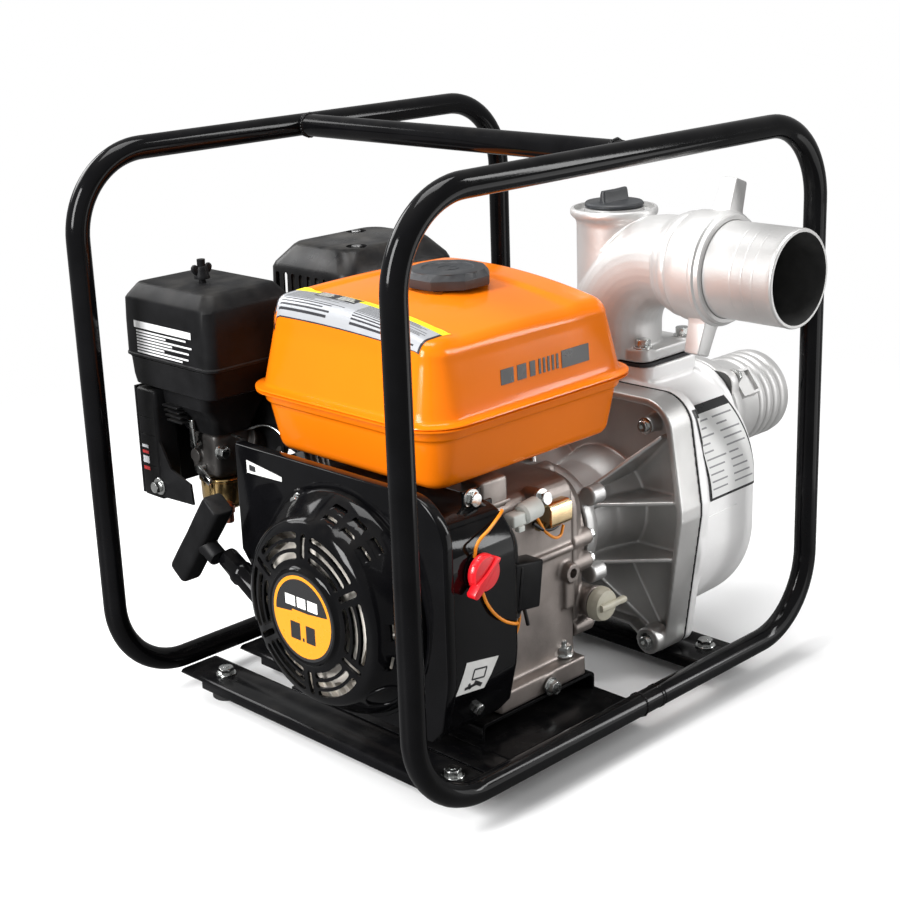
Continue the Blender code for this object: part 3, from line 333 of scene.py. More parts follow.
# ---------------------------------------------------------------- materials
class Surface:
    """A Principled material with a few node helpers; textures are in the object's own metres."""

    def __init__(self, name, colour, roughness, metallic=0.0, coat=0.0, specular=0.5):
        self.material = bpy.data.materials.new(name)
        self.material.use_nodes = True
        self.material.diffuse_color = (*colour, 1)
        self.nodes = self.material.node_tree.nodes
        self.links = self.material.node_tree.links
        self.shader = self.nodes["Principled BSDF"]
        for key, value in (("Base Color", (*colour, 1)), ("Roughness", roughness), ("Metallic", metallic),
                           ("Coat Weight", coat), ("Coat Roughness", 0.06), ("Specular IOR Level", specular)):
            self.shader.inputs[key].default_value = value
        self.colour = colour
        self.roughness = roughness
        self.place = self.node("ShaderNodeTexCoord").outputs["Object"]

    def node(self, kind, **settings):
        made = self.nodes.new(kind)
        for key, value in settings.items():
            setattr(made, key, value)
        return made

    def put(self, socket, value):
        if hasattr(value, "is_output"):
            self.links.new(value, socket)
        else:
            socket.default_value = value

    def noise(self, scale, detail=4.0):
        texture = self.node("ShaderNodeTexNoise")
        texture.inputs["Scale"].default_value = scale
        texture.inputs["Detail"].default_value = detail
        self.links.new(self.place, texture.inputs["Vector"])
        return texture.outputs["Fac"]

    def span(self, value, low, high, new_low=0.0, new_high=1.0):
        made = self.node("ShaderNodeMapRange")
        self.put(made.inputs["Value"], value)
        for key, number in (("From Min", low), ("From Max", high), ("To Min", new_low), ("To Max", new_high)):
            made.inputs[key].default_value = number
        return made.outputs["Result"]

    def math(self, operation, first, second=0.0):
        made = self.node("ShaderNodeMath", operation=operation)
        self.put(made.inputs[0], first)
        self.put(made.inputs[1], second)
        return made.outputs[0]

    def mix(self, amount, first, second):
        made = self.node("ShaderNodeMix", data_type="RGBA")
        self.put(made.inputs["Factor"], amount)
        self.put(made.inputs["A"], first)
        self.put(made.inputs["B"], second)
        return made.outputs["Result"]

    def base(self):
        """What feeds the base colour now, as a socket or a value."""
        socket = self.shader.inputs["Base Color"]
        return socket.links[0].from_socket if socket.links else tuple(socket.default_value)

    def tint(self, colour, amount):
        self.put(self.shader.inputs["Base Color"], self.mix(amount, self.base(), (*colour, 1)))
        return self

    def vary(self, scale, dark, light):
        """Lets the colour drift between a darker and a lighter shade."""
        fac = self.span(self.noise(scale), 0.3, 0.7)
        shades = [tuple(min(1.0, c * k) for c in self.colour) + (1,) for k in (dark, light)]
        self.put(self.shader.inputs["Base Color"], self.mix(fac, *shades))
        return self

    def gloss(self, scale, spread):
        """Lets the roughness drift both ways."""
        low, high = max(0.02, self.roughness - spread), self.roughness + spread
        self.put(self.shader.inputs["Roughness"], self.span(self.noise(scale), 0.3, 0.7, low, high))
        return self

    def bump(self, scale, height, detail=3.0):
        """A bumpy skin, height in metres; bumps add up."""
        made = self.node("ShaderNodeBump")
        made.inputs["Strength"].default_value = 1.0
        made.inputs["Distance"].default_value = height
        self.links.new(self.noise(scale, detail), made.inputs["Height"])
        socket = self.shader.inputs["Normal"]
        if socket.links:
            self.links.new(socket.links[0].from_socket, made.inputs["Normal"])
        self.links.new(made.outputs["Normal"], socket)
        return self

    def upward(self):
        """1 on faces that look up, 0 on walls."""
        geometry = self.node("ShaderNodeNewGeometry")
        split = self.node("ShaderNodeSeparateXYZ")
        self.links.new(geometry.outputs["Normal"], split.inputs[0])
        return self.span(split.outputs["Z"], 0.35, 0.95)

    def dust(self, amount):
        """Fine dust that settles on faces that look up, with a dull skin."""
        patches = self.span(self.noise(45, 6.0), 0.42, 0.75)
        fac = self.math("MULTIPLY", self.math("MULTIPLY", patches, self.upward()), amount)
        self.tint((0.3, 0.28, 0.25), fac)
        rough = self.shader.inputs["Roughness"]
        before = rough.links[0].from_socket if rough.links else rough.default_value
        self.put(rough, self.math("ADD", before, self.math("MULTIPLY", fac, 0.6)))
        return self

    def edges(self, colour, amount, radius=0.0007):
        """Wear on sharp edges, where the paint or the skin thins."""
        soft = self.node("ShaderNodeBevel", samples=4)
        soft.inputs["Radius"].default_value = radius
        geometry = self.node("ShaderNodeNewGeometry")
        dot = self.node("ShaderNodeVectorMath", operation="DOT_PRODUCT")
        self.links.new(soft.outputs["Normal"], dot.inputs[0])
        self.links.new(geometry.outputs["Normal"], dot.inputs[1])
        worn = self.span(dot.outputs["Value"], 0.995, 0.93)
        broken = self.span(self.noise(160, 4.0), 0.4, 0.62)
        self.tint(colour, self.math("MULTIPLY", self.math("MULTIPLY", worn, broken), amount))
        return self


def finish(name, colour, roughness, vary, gloss=None, bumps=(), dust=0.0, edges=None, **settings):
    """Makes a finish and keeps it under its name in MATERIALS."""
    surface = Surface(name, colour, roughness, **settings).vary(*vary)
    if gloss:
        surface.gloss(*gloss)
    for bump in bumps:
        surface.bump(*bump)
    if dust:
        surface.dust(dust)
    if edges:
        surface.edges(*edges)
    MATERIALS[name] = surface.material


MATERIALS = {}
finish("tube_paint", (0.0028, 0.0028, 0.0032), 0.11, coat=0.1, specular=0.08, vary=(30, 0.8, 1.5),
       gloss=(35, 0.03), dust=0.02, bumps=[(420, 0.00002)])
finish("plate_paint", (0.0035, 0.0035, 0.004), 0.24, coat=0.03, specular=0.09, vary=(22, 0.8, 1.4),
       gloss=(30, 0.04), dust=0.03, edges=((0.1, 0.1, 0.1), 0.35), bumps=[(300, 0.00004)])
finish("cover_paint", (0.0024, 0.0024, 0.0028), 0.09, coat=0.12, specular=0.08, vary=(25, 0.8, 1.6),
       gloss=(28, 0.05), dust=0.03, bumps=[(350, 0.00003)])
finish("tank_paint", (0.81, 0.178, 0.004), 0.17, coat=0.14, specular=0.12, vary=(9, 0.96, 1.03),
       gloss=(25, 0.04), bumps=[(380, 0.000025)])
finish("black_plastic", (0.0065, 0.0065, 0.007), 0.42, specular=0.09, vary=(60, 0.75, 1.4),
       gloss=(40, 0.07), dust=0.07, edges=((0.06, 0.06, 0.06), 0.5), bumps=[(1500, 0.00006, 2.0)])
finish("guard_plastic", (0.0075, 0.0075, 0.008), 0.3, specular=0.16, vary=(50, 0.75, 1.5), gloss=(40, 0.08),
       dust=0.16, edges=((0.08, 0.08, 0.08), 0.5), bumps=[(900, 0.00005, 2.0)])
finish("cap_plastic", (0.022, 0.024, 0.027), 0.46, vary=(40, 0.8, 1.3), gloss=(40, 0.06), dust=0.1,
       bumps=[(1800, 0.00004, 2.0)])
finish("rubber", (0.01, 0.01, 0.01), 0.72, vary=(70, 0.7, 1.5), dust=0.2, bumps=[(900, 0.00009)])
finish("pump_casting", (0.58, 0.575, 0.567), 0.46, metallic=0.6, vary=(14, 0.9, 1.06), gloss=(20, 0.06),
       bumps=[(650, 0.00007, 4.0), (60, 0.00016)])
finish("drum_casting", (0.93, 0.925, 0.92), 0.5, metallic=0.3, vary=(14, 0.92, 1.05), gloss=(20, 0.06),
       bumps=[(650, 0.00007, 4.0), (60, 0.00016)])
finish("bracket_casting", (0.56, 0.555, 0.545), 0.42, metallic=0.8, vary=(16, 0.82, 1.1), gloss=(20, 0.07),
       edges=((0.75, 0.74, 0.73), 0.6), bumps=[(650, 0.00008, 4.0), (60, 0.00016)])
finish("engine_casting", (0.3, 0.265, 0.245), 0.46, metallic=0.85, vary=(26, 0.72, 1.22), gloss=(30, 0.08),
       edges=((0.55, 0.52, 0.5), 0.5), bumps=[(700, 0.00009, 4.0), (70, 0.0002)])
finish("machined", (0.7, 0.69, 0.68), 0.26, metallic=1.0, vary=(40, 0.9, 1.08), gloss=(60, 0.07),
       bumps=[(900, 0.00002)])
finish("zinc", (0.62, 0.63, 0.62), 0.24, metallic=1.0, vary=(120, 0.72, 1.15), gloss=(90, 0.08),
       bumps=[(700, 0.00002)])
finish("fan_metal", (0.8, 0.75, 0.68), 0.42, metallic=0.25, vary=(60, 0.7, 1.15), bumps=[(500, 0.0001)])
finish("brass", (0.72, 0.5, 0.22), 0.24, metallic=1.0, vary=(60, 0.7, 1.15), gloss=(50, 0.08))
finish("copper", (0.62, 0.27, 0.19), 0.3, metallic=1.0, vary=(70, 0.6, 1.25), gloss=(60, 0.1))
finish("gold_plate", (0.83, 0.63, 0.36), 0.22, metallic=1.0, vary=(70, 0.85, 1.1))
finish("red_plastic", (0.78, 0.008, 0.016), 0.34, coat=0.2, vary=(70, 0.9, 1.05), bumps=[(900, 0.00003)])
finish("cream_plastic", (0.5, 0.475, 0.38), 0.4, vary=(60, 0.88, 1.08), dust=0.1, bumps=[(800, 0.00005)])
finish("white_plastic", (0.66, 0.68, 0.64), 0.38, vary=(60, 0.85, 1.05))
finish("orange_wire", (0.85, 0.27, 0.006), 0.38, vary=(90, 0.85, 1.08))
finish("black_wire", (0.006, 0.006, 0.006), 0.34, vary=(90, 0.7, 1.5))
finish("gasket", (0.01, 0.01, 0.011), 0.6, vary=(90, 0.7, 1.5), bumps=[(600, 0.0001)])
finish("plate_zinc", (0.3, 0.3, 0.3), 0.34, metallic=1.0, vary=(90, 0.7, 1.2), gloss=(70, 0.08))
finish("muffler_steel", (0.045, 0.042, 0.04), 0.48, metallic=0.5, vary=(30, 0.6, 1.6), gloss=(30, 0.1),
       dust=0.15, bumps=[(500, 0.0001)])
finish("foam", (0.5, 0.46, 0.16), 0.9, vary=(200, 0.7, 1.2), bumps=[(900, 0.0004)])
# Dark finish for the faces inside the hose tails: painted shade where the bore lies in shadow.
finish("bore_painted_shade", (0.045, 0.045, 0.044), 0.55, vary=(40, 0.6, 1.5), bumps=[(400, 0.0001)])


def printed(name, paper, ink, rows, share=0.5, metallic=0.0, border=0.0):
    """Sticker paper with two columns of small bars that stand for print."""
    columns = 2
    surface = Surface(name, paper, 0.34, metallic=metallic)
    coordinates = surface.node("ShaderNodeSeparateXYZ")
    surface.links.new(surface.node("ShaderNodeUVMap").outputs["UV"], coordinates.inputs[0])
    across, up = coordinates.outputs["X"], coordinates.outputs["Y"]
    row = surface.math("MULTIPLY", up, rows)
    whole = surface.math("FLOOR", row)
    part = surface.math("FRACT", row)
    column = surface.math("FRACT", surface.math("MULTIPLY", across, columns))
    which = surface.math("FLOOR", surface.math("MULTIPLY", across, columns))
    seed = surface.math("ADD", surface.math("MULTIPLY", whole, 3.7), surface.math("MULTIPLY", which, 11.3))
    chance = surface.node("ShaderNodeTexWhiteNoise", noise_dimensions="1D")
    surface.links.new(seed, chance.inputs["W"])
    length = surface.span(chance.outputs["Value"], 0, 1, 0.45, 0.93)
    bar = surface.math("MULTIPLY", surface.math("LESS_THAN", column, length),
                       surface.math("GREATER_THAN", column, 0.07))
    bar = surface.math("MULTIPLY", bar, surface.math("LESS_THAN", part, share))
    bar = surface.math("MULTIPLY", bar, surface.math("LESS_THAN", up, 0.97))
    bar = surface.math("MULTIPLY", bar, surface.math("GREATER_THAN", up, 0.05))
    surface.tint(ink, bar)
    if border:
        edge = surface.math("MINIMUM", surface.math("MINIMUM", across, surface.math("SUBTRACT", 1.0, across)),
                            surface.math("MINIMUM", up, surface.math("SUBTRACT", 1.0, up)))
        surface.tint(ink, surface.math("LESS_THAN", edge, border))
    surface.gloss(60, 0.05)
    return surface.material


def plain_print(name, colour, roughness=0.32):
    return Surface(name, colour, roughness).vary(80, 0.9, 1.06).gloss(60, 0.05).material


def thicken(obj, thickness):
    solidify = obj.modifiers.new("thick", "SOLIDIFY")
    solidify.thickness = thickness
    solidify.offset = 0
    return bake(obj)


# How far a sticker lies above its skin, and one that lies on another sticker.
LAID, ON_TOP = 0.0003, 0.0006
PAPER = 0.00025
RAY_START = 0.05


def sticker(name, corners, material, target, lift, steps, toward):
    """A thin sheet between four corners, dropped on a finished piece along a direction."""
    bm = bmesh.new()
    layer = bm.loops.layers.uv.new("UVMap")
    first, second, third, fourth = (Vector(c) for c in corners)
    grid = []
    for j in range(steps[1] + 1):
        v = j / steps[1]
        left, right = first.lerp(fourth, v), second.lerp(third, v)
        grid.append([bm.verts.new(left.lerp(right, i / steps[0])) for i in range(steps[0] + 1)])
    for j in range(steps[1]):
        for i in range(steps[0]):
            face = bm.faces.new((grid[j][i], grid[j][i + 1], grid[j + 1][i + 1], grid[j + 1][i]))
            for loop, (u, v) in zip(face.loops, ((i, j), (i + 1, j), (i + 1, j + 1), (i, j + 1))):
                loop[layer].uv = (u / steps[0], v / steps[1])
    obj = to_object(bm, name)
    # The target has been moved to its place already, so the sheet meets it there.
    obj.data.transform(Matrix.Translation(SHIFT))
    surface = target.evaluated_get(bpy.context.evaluated_depsgraph_get())
    ray = Vector(toward).normalized()
    for vertex in obj.data.vertices:
        hit, place, normal, _ = surface.ray_cast(vertex.co - ray * RAY_START, ray)
        if hit:
            vertex.co = place + normal * lift
    obj.data.transform(Matrix.Translation(-SHIFT))
    piece(thicken(obj, PAPER), material, sharp=60)


# ---------------------------------------------------------------- fasteners
def hex_bolt(name, place, axis, across_flats, head, washer, twist=0.0, material="zinc", cad=None, stub=0.0):
    """A hexagon bolt on a washer: its head stands on place and points along axis; a stub is its thread."""
    place, axis = Vector(place), Vector(axis).normalized()
    corner = across_flats / 2 / math.cos(math.pi / 6)
    outline = [(corner * math.cos(math.tau * i / 6), corner * math.sin(math.tau * i / 6)) for i in range(6)]
    _, up, _ = axes_of(axis)
    base = 0.0012
    hexagon = prism("hexagon", outline, head, place + axis * (base + head / 2), axis, up)
    crown = lathe("crown", [(0, 0), (corner * 1.02, 0), (corner * 1.02, head * 0.82), (corner * 0.86, head),
                            (0, head)], place + axis * base, axis, 36)
    boolean(hexagon, [crown], "INTERSECT")
    turn(hexagon, axis, twist, place)
    parts = [round_edges(hexagon, 0.0003, 2)]
    parts.append(lathe("washer", [(0, 0), (washer, 0), (washer, 0.0009), (washer - 0.0004, base + 0.0002),
                                  (0, base + 0.0002)], place, axis, 36))
    if stub:
        parts.append(lathe("stub", [(0, 0), (0.003, 0), (0.003, head + stub - 0.0006), (0.0024, head + stub),
                                    (0, head + stub)], place, axis, 24))
    piece(merge(name, *parts), material, cad=cad)


def socket_bolt(name, place, axis, radius, head, washer):
    """A cap screw with a hexagon socket on a washer."""
    place, axis = Vector(place), Vector(axis).normalized()
    profile = [(0, 0), (washer, 0), (washer, 0.001), (radius, 0.0014), (radius, head - 0.0005),
               (radius - 0.0005, head), (0, head)]
    screw = lathe("screw", profile, place, axis, 36)
    socket = lathe("socket", [(0, -0.002), (radius * 0.55, -0.002), (radius * 0.55, 0.002), (0, 0.002)],
                   place + axis * head, axis, 6)
    boolean(screw, [socket])
    screw.name = name
    piece(screw, "zinc")


# ---------------------------------------------------------------- frame, plates and feet
TUBE_RADIUS = 0.0095
BEND_RADIUS = 0.066
HOOP_HALF = (0.239, 0.22)
HOOP_MIDDLE = 0.25
HOOP_Y = 0.18
CROSSBAR_X = -0.005
PLATE_TOP = 0.0202
PLATE_HALF = 0.176         # half of a plate's run across the frame
PLATE_LIP = 0.009
STEEL = 0.0025
NOTCH = 0.03              # where a plate lies under a tube, its lips are cut back this far
FOOT_X = (-0.1615, 0.152)
FOOT_Y = 0.138
FOOT_HOLE = 0.0042


def build_hoops():
    outline = rounded_rectangle(*HOOP_HALF, BEND_RADIUS, 20)
    for name, y, joints in (("near_hoop", -HOOP_Y, (0.0284, 0.0316)),
                            ("far_hoop", HOOP_Y, (-0.0416, -0.0384))):
        hoop = tube(name + "_tube", [(x, y, z + HOOP_MIDDLE) for x, z in outline], TUBE_RADIUS, cyclic=True,
                    sides=40)
        parts = [hoop]
        for x in joints:
            middle = (x, y, HOOP_MIDDLE - HOOP_HALF[1])
            parts.append(lathe("butt_weld", [(TUBE_RADIUS - 0.0005, -0.0016), (TUBE_RADIUS + 0.0004, 0),
                                             (TUBE_RADIUS - 0.0005, 0.0016)], middle, X, 40))
        piece(merge(name + "_tube", *parts), "tube_paint", cad=name)


def build_hoop_joints():
    """Where each hoop's ends meet, on the middle of its lower run."""
    for side, label in ((-1, "near"), (1, "far")):
        centre = (0.008, side * HOOP_Y, HOOP_MIDDLE - HOOP_HALF[1])
        piece(weld_bead(f"hoop_joint_{label}", centre, X, TUBE_RADIUS * 0.97, bead=0.0013, lumps=30),
              "tube_paint")


def weld_bead(name, centre, axis, radius, bead=0.0022, lumps=22):
    """A row of small overlapping weld lumps round a joint."""
    across, up, axis = axes_of(axis)
    parts = []
    for i in range(lumps):
        angle = math.tau * i / lumps
        middle = Vector(centre) + (across * math.cos(angle) + up * math.sin(angle)) * radius
        lump = bmesh.new()
        bmesh.ops.create_icosphere(lump, subdivisions=2, radius=bead * (1 + 0.12 * math.sin(i * 2.4)))
        bmesh.ops.translate(lump, verts=lump.verts, vec=middle)
        parts.append(to_solid(lump, "lump"))
    return merge(name, *parts)


def build_crossbar():
    top = HOOP_MIDDLE + HOOP_HALF[1]
    reach = HOOP_Y - 0.0045
    bar = tube("top_crossbar_tube", [(CROSSBAR_X, y, top) for y in (-reach, 0, reach)], TUBE_RADIUS, sides=40)
    piece(bar, "tube_paint", cad="top_crossbar")
    for side in (-1, 1):
        centre = (CROSSBAR_X, side * (HOOP_Y - TUBE_RADIUS - 0.0005), top)
        bead = weld_bead(f"crossbar_weld_{'near' if side < 0 else 'far'}", centre, Y, TUBE_RADIUS * 0.93)
        piece(bead, "tube_paint")


def channel(name, x0, x1, y0, y1, top, lip, holes=()):
    """A folded base plate: a flat top with two down-turned lips."""
    bend = 0.004
    outer = arc((x1 - bend, top - bend), bend, 0, 90, 5)
    outer += [(x1 + x0 - x, z) for x, z in reversed(outer)]
    inner = [((x - (x0 + x1) / 2) * (1 - 2 * STEEL / (x1 - x0)) + (x0 + x1) / 2, z - STEEL) for x, z in outer]
    outline = [(x1, top - lip)] + outer + [(x0, top - lip), (x0 + STEEL, top - lip)]
    outline += list(reversed(inner)) + [(x1 - STEEL, top - lip)]
    plate = prism(name, [(-x, z) for x, z in outline], y1 - y0, (0, (y0 + y1) / 2, 0), Y)
    cutters = [rod("hole", (x, y, top - 0.01), (x, y, top + 0.01), radius, sides=28) for x, y,
               radius in holes]
    if lip == PLATE_LIP:
        for low, high in ((y0 - 0.01, y0 + NOTCH), (y1 - NOTCH, y1 + 0.01)):
            cutters.append(box("notch", (x0 - 0.01, low, top - lip - 0.01),
                               (x1 + 0.01, high, top - STEEL - 0.0005)))
    if cutters:
        boolean(plate, cutters)
    return round_edges(plate, 0.0005, 2, 50)




def build_plates():
    rows = (("front_base_plate", -0.182, -0.141, FOOT_X[0]), ("rear_base_plate", 0.12, 0.173, FOOT_X[1]))
    for name, x0, x1, foot_x in rows:
        holes = [(foot_x, side * FOOT_Y, FOOT_HOLE) for side in (-1, 1)]
        plate = channel(name + "_steel", x0, x1, -PLATE_HALF, PLATE_HALF, PLATE_TOP, PLATE_LIP, holes)
        piece(plate, "plate_paint", cad=name)
    middle = channel("engine_base_plate_steel", -0.117, 0.029, -PLATE_HALF, PLATE_HALF, PLATE_TOP, PLATE_LIP)
    # A black sheet on the near side fills the space up to the front plate: painted shade where that gap lies in
    # shadow.
    flap = box("flap", (-0.1404, -0.1755, PLATE_TOP - 0.0027), (-0.115, 0.076, PLATE_TOP - 0.0004), 0.0006, 2)
    middle = merge("engine_base_plate_steel", middle, flap)
    piece(middle, "plate_paint", cad="engine_base_plate")
    low, high = drawn("engine_riser")
    riser = channel("engine_riser_steel", low.x, high.x, low.y, high.y, high.z, high.z - low.z)
    piece(riser, "plate_paint", cad="engine_riser")


def build_feet():
    for x, end in ((FOOT_X[0], "front"), (FOOT_X[1], "rear")):
        for y, side in ((-FOOT_Y, "near"), (FOOT_Y, "far")):
            name = f"{end}_{side}"
            top = PLATE_TOP - 0.0028
            profile = [(0, 0.0008), (0.0095, 0.0008), (0.01, 0), (0.0122, 0), (0.013, 0.001), (0.0126, 0.006),
                       (0.0132, 0.0068), (0.0128, 0.0085), (0.0112, top - 0.001), (0.0105, top), (0, top)]
            piece(lathe(name + "_foot", profile, (x, y, 0), Z, 48), "rubber",
                  cad=name + "_rubber_foot")
            hex_bolt(name + "_bolt", (x, y, PLATE_TOP), Z, 0.0118, 0.0052, 0.0088, twist=17 * (1 + y),
                     cad=name + "_foot_bolt", stub=0.0015)


# ---------------------------------------------------------------- fuel tank
TANK_MIDDLE = Vector((-0.04, -0.018, 0))
TANK_HALF = (0.112, 0.104)
TANK_CORNER = 0.027
SEAM_Z = 0.2845
CAP_CENTRE = Vector((-0.024, -0.012, 0))
CAP_SEAT = 0.357


def tank_ring(inset, height):
    """One level of the tank; height is a number or a function of x and y."""
    radius = max(TANK_CORNER - inset, 0.004)
    outline = rounded_rectangle(TANK_HALF[0] - inset, TANK_HALF[1] - inset, radius, 12, 26)
    ring = []
    for u, v in outline:
        x, y = TANK_MIDDLE.x + u, TANK_MIDDLE.y + v
        ring.append(Vector((x, y, height(x, y) if callable(height) else height)))
    return ring


def ease(value, low, high):
    t = min(1.0, max(0.0, (value - low) / (high - low)))
    return t * t * (3 - 2 * t)


def tank_top(x, y):
    """Height of the tank's top: a dome that falls to the near side, with a raised strip on each side."""
    dome = 0.3592 - 0.85 * (y - 0.03) ** 2 - 0.3 * (x + 0.04) ** 2
    left = (1 - ease(x, -0.114, -0.108)) * ease(y, -0.112, -0.102)
    right = ease(x, 0.016, 0.023) * ease(y, -0.112, -0.102)
    back = ease(y, 0.052, 0.06)
    return dome + 0.0022 * max(left, right, back)


def build_tank():
    edge = 0.0105
    taper = 0.01
    wall_top = 0.333

    def crown(inset):
        drop = edge - math.sqrt(max(edge ** 2 - max(edge - inset, 0) ** 2, 0))
        return lambda x, y: tank_top(x, y) - drop

    rings = [tank_ring(-0.007, SEAM_Z + 0.0003), tank_ring(-0.0082, SEAM_Z + 0.001),
             tank_ring(-0.0078, SEAM_Z + 0.0019), tank_ring(-0.006, SEAM_Z + 0.0023),
             tank_ring(-0.0022, SEAM_Z + 0.0026), tank_ring(-0.0006, SEAM_Z + 0.0036),
             tank_ring(0.0003, SEAM_Z + 0.0058)]
    for i in range(1, 9):
        share = i / 8
        rings.append(tank_ring(0.0003 + (taper - 0.0003) * share,
                               SEAM_Z + 0.0058 + (wall_top - 0.291) * share))
    base = rings[-1][0].z
    for i in range(1, 9):
        inset = edge * (1 - math.cos(math.radians(90 * i / 8)))
        lift = math.sin(math.radians(90 * i / 8))

        def shoulder(x, y, lift=lift):
            return base + (crown(edge)(x, y) - base) * lift

        rings.append(tank_ring(taper + inset, shoulder))
    inset = taper + edge
    while inset < TANK_HALF[1] - 0.006:
        inset += 0.0028
        rings.append(tank_ring(inset, tank_top))
    upper = loft("fuel_tank_upper_shell", rings)
    seat = lathe("seat", [(0, 0), (0.0345, 0), (0.0362, 0.0006), (0.0385, 0.003), (0.042, 0.005),
                          (0.044, 0.012), (0, 0.012)], (CAP_CENTRE.x, CAP_CENTRE.y, CAP_SEAT - 0.0012), Z, 96)
    boolean(upper, [seat])
    skin = piece(upper, "tank_paint", cad="fuel_tank_upper", sharp=50)

    levels = [(-0.007, -0.0003), (-0.008, -0.001), (-0.0077, -0.0018), (-0.006, -0.0021), (-0.0024, -0.0024),
              (-0.0012, -0.0034), (-0.0006, -0.005), (-0.0002, -0.0092), (0.0006, -0.0104), (0.0022, -0.0112),
              (0.003, -0.0122), (0.0036, -0.015), (0.0066, -0.03), (0.0092, -0.0425), (0.0104, -0.0465),
              (0.013, -0.0498), (0.017, -0.052), (0.023, -0.0532), (0.05, -0.054)]
    lower = loft("fuel_tank_lower_shell", [tank_ring(inset, SEAM_Z + z) for inset, z in levels])
    piece(lower, "tank_paint", cad="fuel_tank_lower", sharp=50)
    return skin


def build_fuel_cap():
    """Eight-sided cap with a chamfered rim, a dished top and a plain raised ring."""
    height = 0.014
    radius = 0.0352
    rings = []
    for share, rise in ((0.86, 0.0), (0.9, 0.0006), (0.985, 0.0012), (1.0, 0.0024), (1.0, height * 0.6),
                         (0.985, height * 0.66), (0.9, height * 0.9), (0.87, height * 0.965), (0.83, height),
                         (0.62, height), (0.6, height - 0.0004), (0.58, height - 0.0012),
                         (0.3, height - 0.001),
                         (0.05, height - 0.0008)):
        outline = []
        for i in range(8):
            start = Vector((math.cos(math.tau * (i - 0.5) / 8), math.sin(math.tau * (i - 0.5) / 8)))
            end = Vector((math.cos(math.tau * (i + 0.5) / 8), math.sin(math.tau * (i + 0.5) / 8)))
            for k in range(6):
                flat = start.lerp(end, k / 6)
                blend = 0.82 if rise < height * 0.95 else 0.35 if share > 0.6 else 0.0
                point = flat * blend + flat.normalized() * (1 - blend)
                outline.append(CAP_CENTRE + Vector((point.x, point.y, 0)) * radius * share
                               + Z * (CAP_SEAT + 0.0003 + rise))
        rings.append(outline)
    cap = loft("fuel_cap_moulding", rings)
    mark = [lathe("ring", [(0.0075, 0), (0.0088, 0), (0.0088, 0.0004), (0.0075, 0.0004)],
                  CAP_CENTRE + Z * (CAP_SEAT + height - 0.0007), Z, 48, closed=True)]
    for i in range(3):
        bar = box("bar", (0.0022, -0.001, 0), (0.0062, 0.001, 0.0004))
        bar.data.transform(Matrix.Translation(CAP_CENTRE + Z * (CAP_SEAT + height - 0.0007))
                           @ Matrix.Rotation(math.tau * i / 3, 4, "Z"))
        mark.append(bar)
    piece(merge("fuel_cap_moulding", cap, *mark), "cap_plastic", "fuel_cap", "fuel_cap", sharp=28)


def build_tank_prints(skin):
    """A silver label with plain bars on the left strip, and a row of plain stripes on the near side."""
    sheet = printed("label_silver", (0.42, 0.43, 0.45), (0.03, 0.03, 0.035), 15, share=0.45, metallic=0.3,
                    border=0.012)
    left, right, near, far = -0.141, -0.117, -0.098, 0.066
    sticker("tank_label", [(left, far, 0.37), (left, near, 0.37), (right, near, 0.37), (right, far, 0.37)],
            sheet,
            skin, LAID, (40, 12), toward=-Z)
    sticker("tank_label_band", [(right, far, 0.37), (right, near, 0.37), (right + 0.01, near, 0.37),
                                (right + 0.01, far, 0.37)],
            plain_print("label_yellow", (0.9, 0.72, 0.01)), skin, LAID, (40, 6), toward=-Z)
    sticker("tank_label_block", [(right - 0.006, far - 0.03, 0.37), (right - 0.006, far - 0.075, 0.37),
                                 (right + 0.0055, far - 0.075, 0.37), (right + 0.0055, far - 0.03, 0.37)],
            printed("label_dark", (0.02, 0.02, 0.022), (0.55, 0.55, 0.5), 5), skin, ON_TOP, (14, 6),
            toward=-Z)
    ink = plain_print("tank_ink", (0.01, 0.009, 0.009), 0.3)
    y = -0.16
    bars = [(-0.078, 0.014), (-0.06, 0.01),
            (-0.046, 0.006)] + [(-0.036 + 0.005 * i, 0.0024) for i in range(5)]
    for i, (x, wide) in enumerate(bars):
        low, high = 0.303, 0.314
        lean = 0.0022
        corners = [(x, y, low), (x + wide, y, low), (x + wide + lean, y, high), (x + lean, y, high)]
        sticker(f"tank_stripe_{i}", corners, ink, skin, LAID, (6, 6), toward=Y)
    sticker("tank_stripe_block", [(-0.01, y, 0.302), (0.022, y, 0.302), (0.0245, y, 0.315),
                                  (-0.0075, y, 0.315)],
            ink, skin, LAID, (12, 6), toward=Y)


# ---------------------------------------------------------------- recoil starter, fan and housing
CRANK_Y = -0.045
CRANK_Z = 0.143
HOUSING_X = (-0.178, -0.1)
HOUSING_TOP = 0.2225
HOUSING_FRONT_TOP = 0.2435
COVER_BASE = HOUSING_X[0] - 0.0003
COVER_DEPTH = 0.0437


def crank_point(x, radius, degrees):
    """A point about the crank axis; 0 degrees is the near side and 90 is up."""
    angle = math.radians(degrees)
    return Vector((x, CRANK_Y - radius * math.cos(angle), CRANK_Z + radius * math.sin(angle)))


def slot_outline(radius, width, start, end, steps=8):
    """A curved slot with round ends, as (y, z) offsets from the crank axis."""
    half = width / 2
    points = arc((0, 0), radius + half, start, end, steps)
    tip = (radius * math.cos(math.radians(end)), radius * math.sin(math.radians(end)))
    points += arc(tip, half, end, end + 180, 6)[1:-1]
    points += arc((0, 0), radius - half, end, start, steps)
    tip = (radius * math.cos(math.radians(start)), radius * math.sin(math.radians(start)))
    points += arc(tip, half, start + 180, start + 360, 6)[1:-1]
    return [(-y, z) for y, z in points]


def crank_cutter(outline, x0, x1):
    return prism("cutter", outline, x1 - x0, ((x0 + x1) / 2, CRANK_Y, CRANK_Z), X)


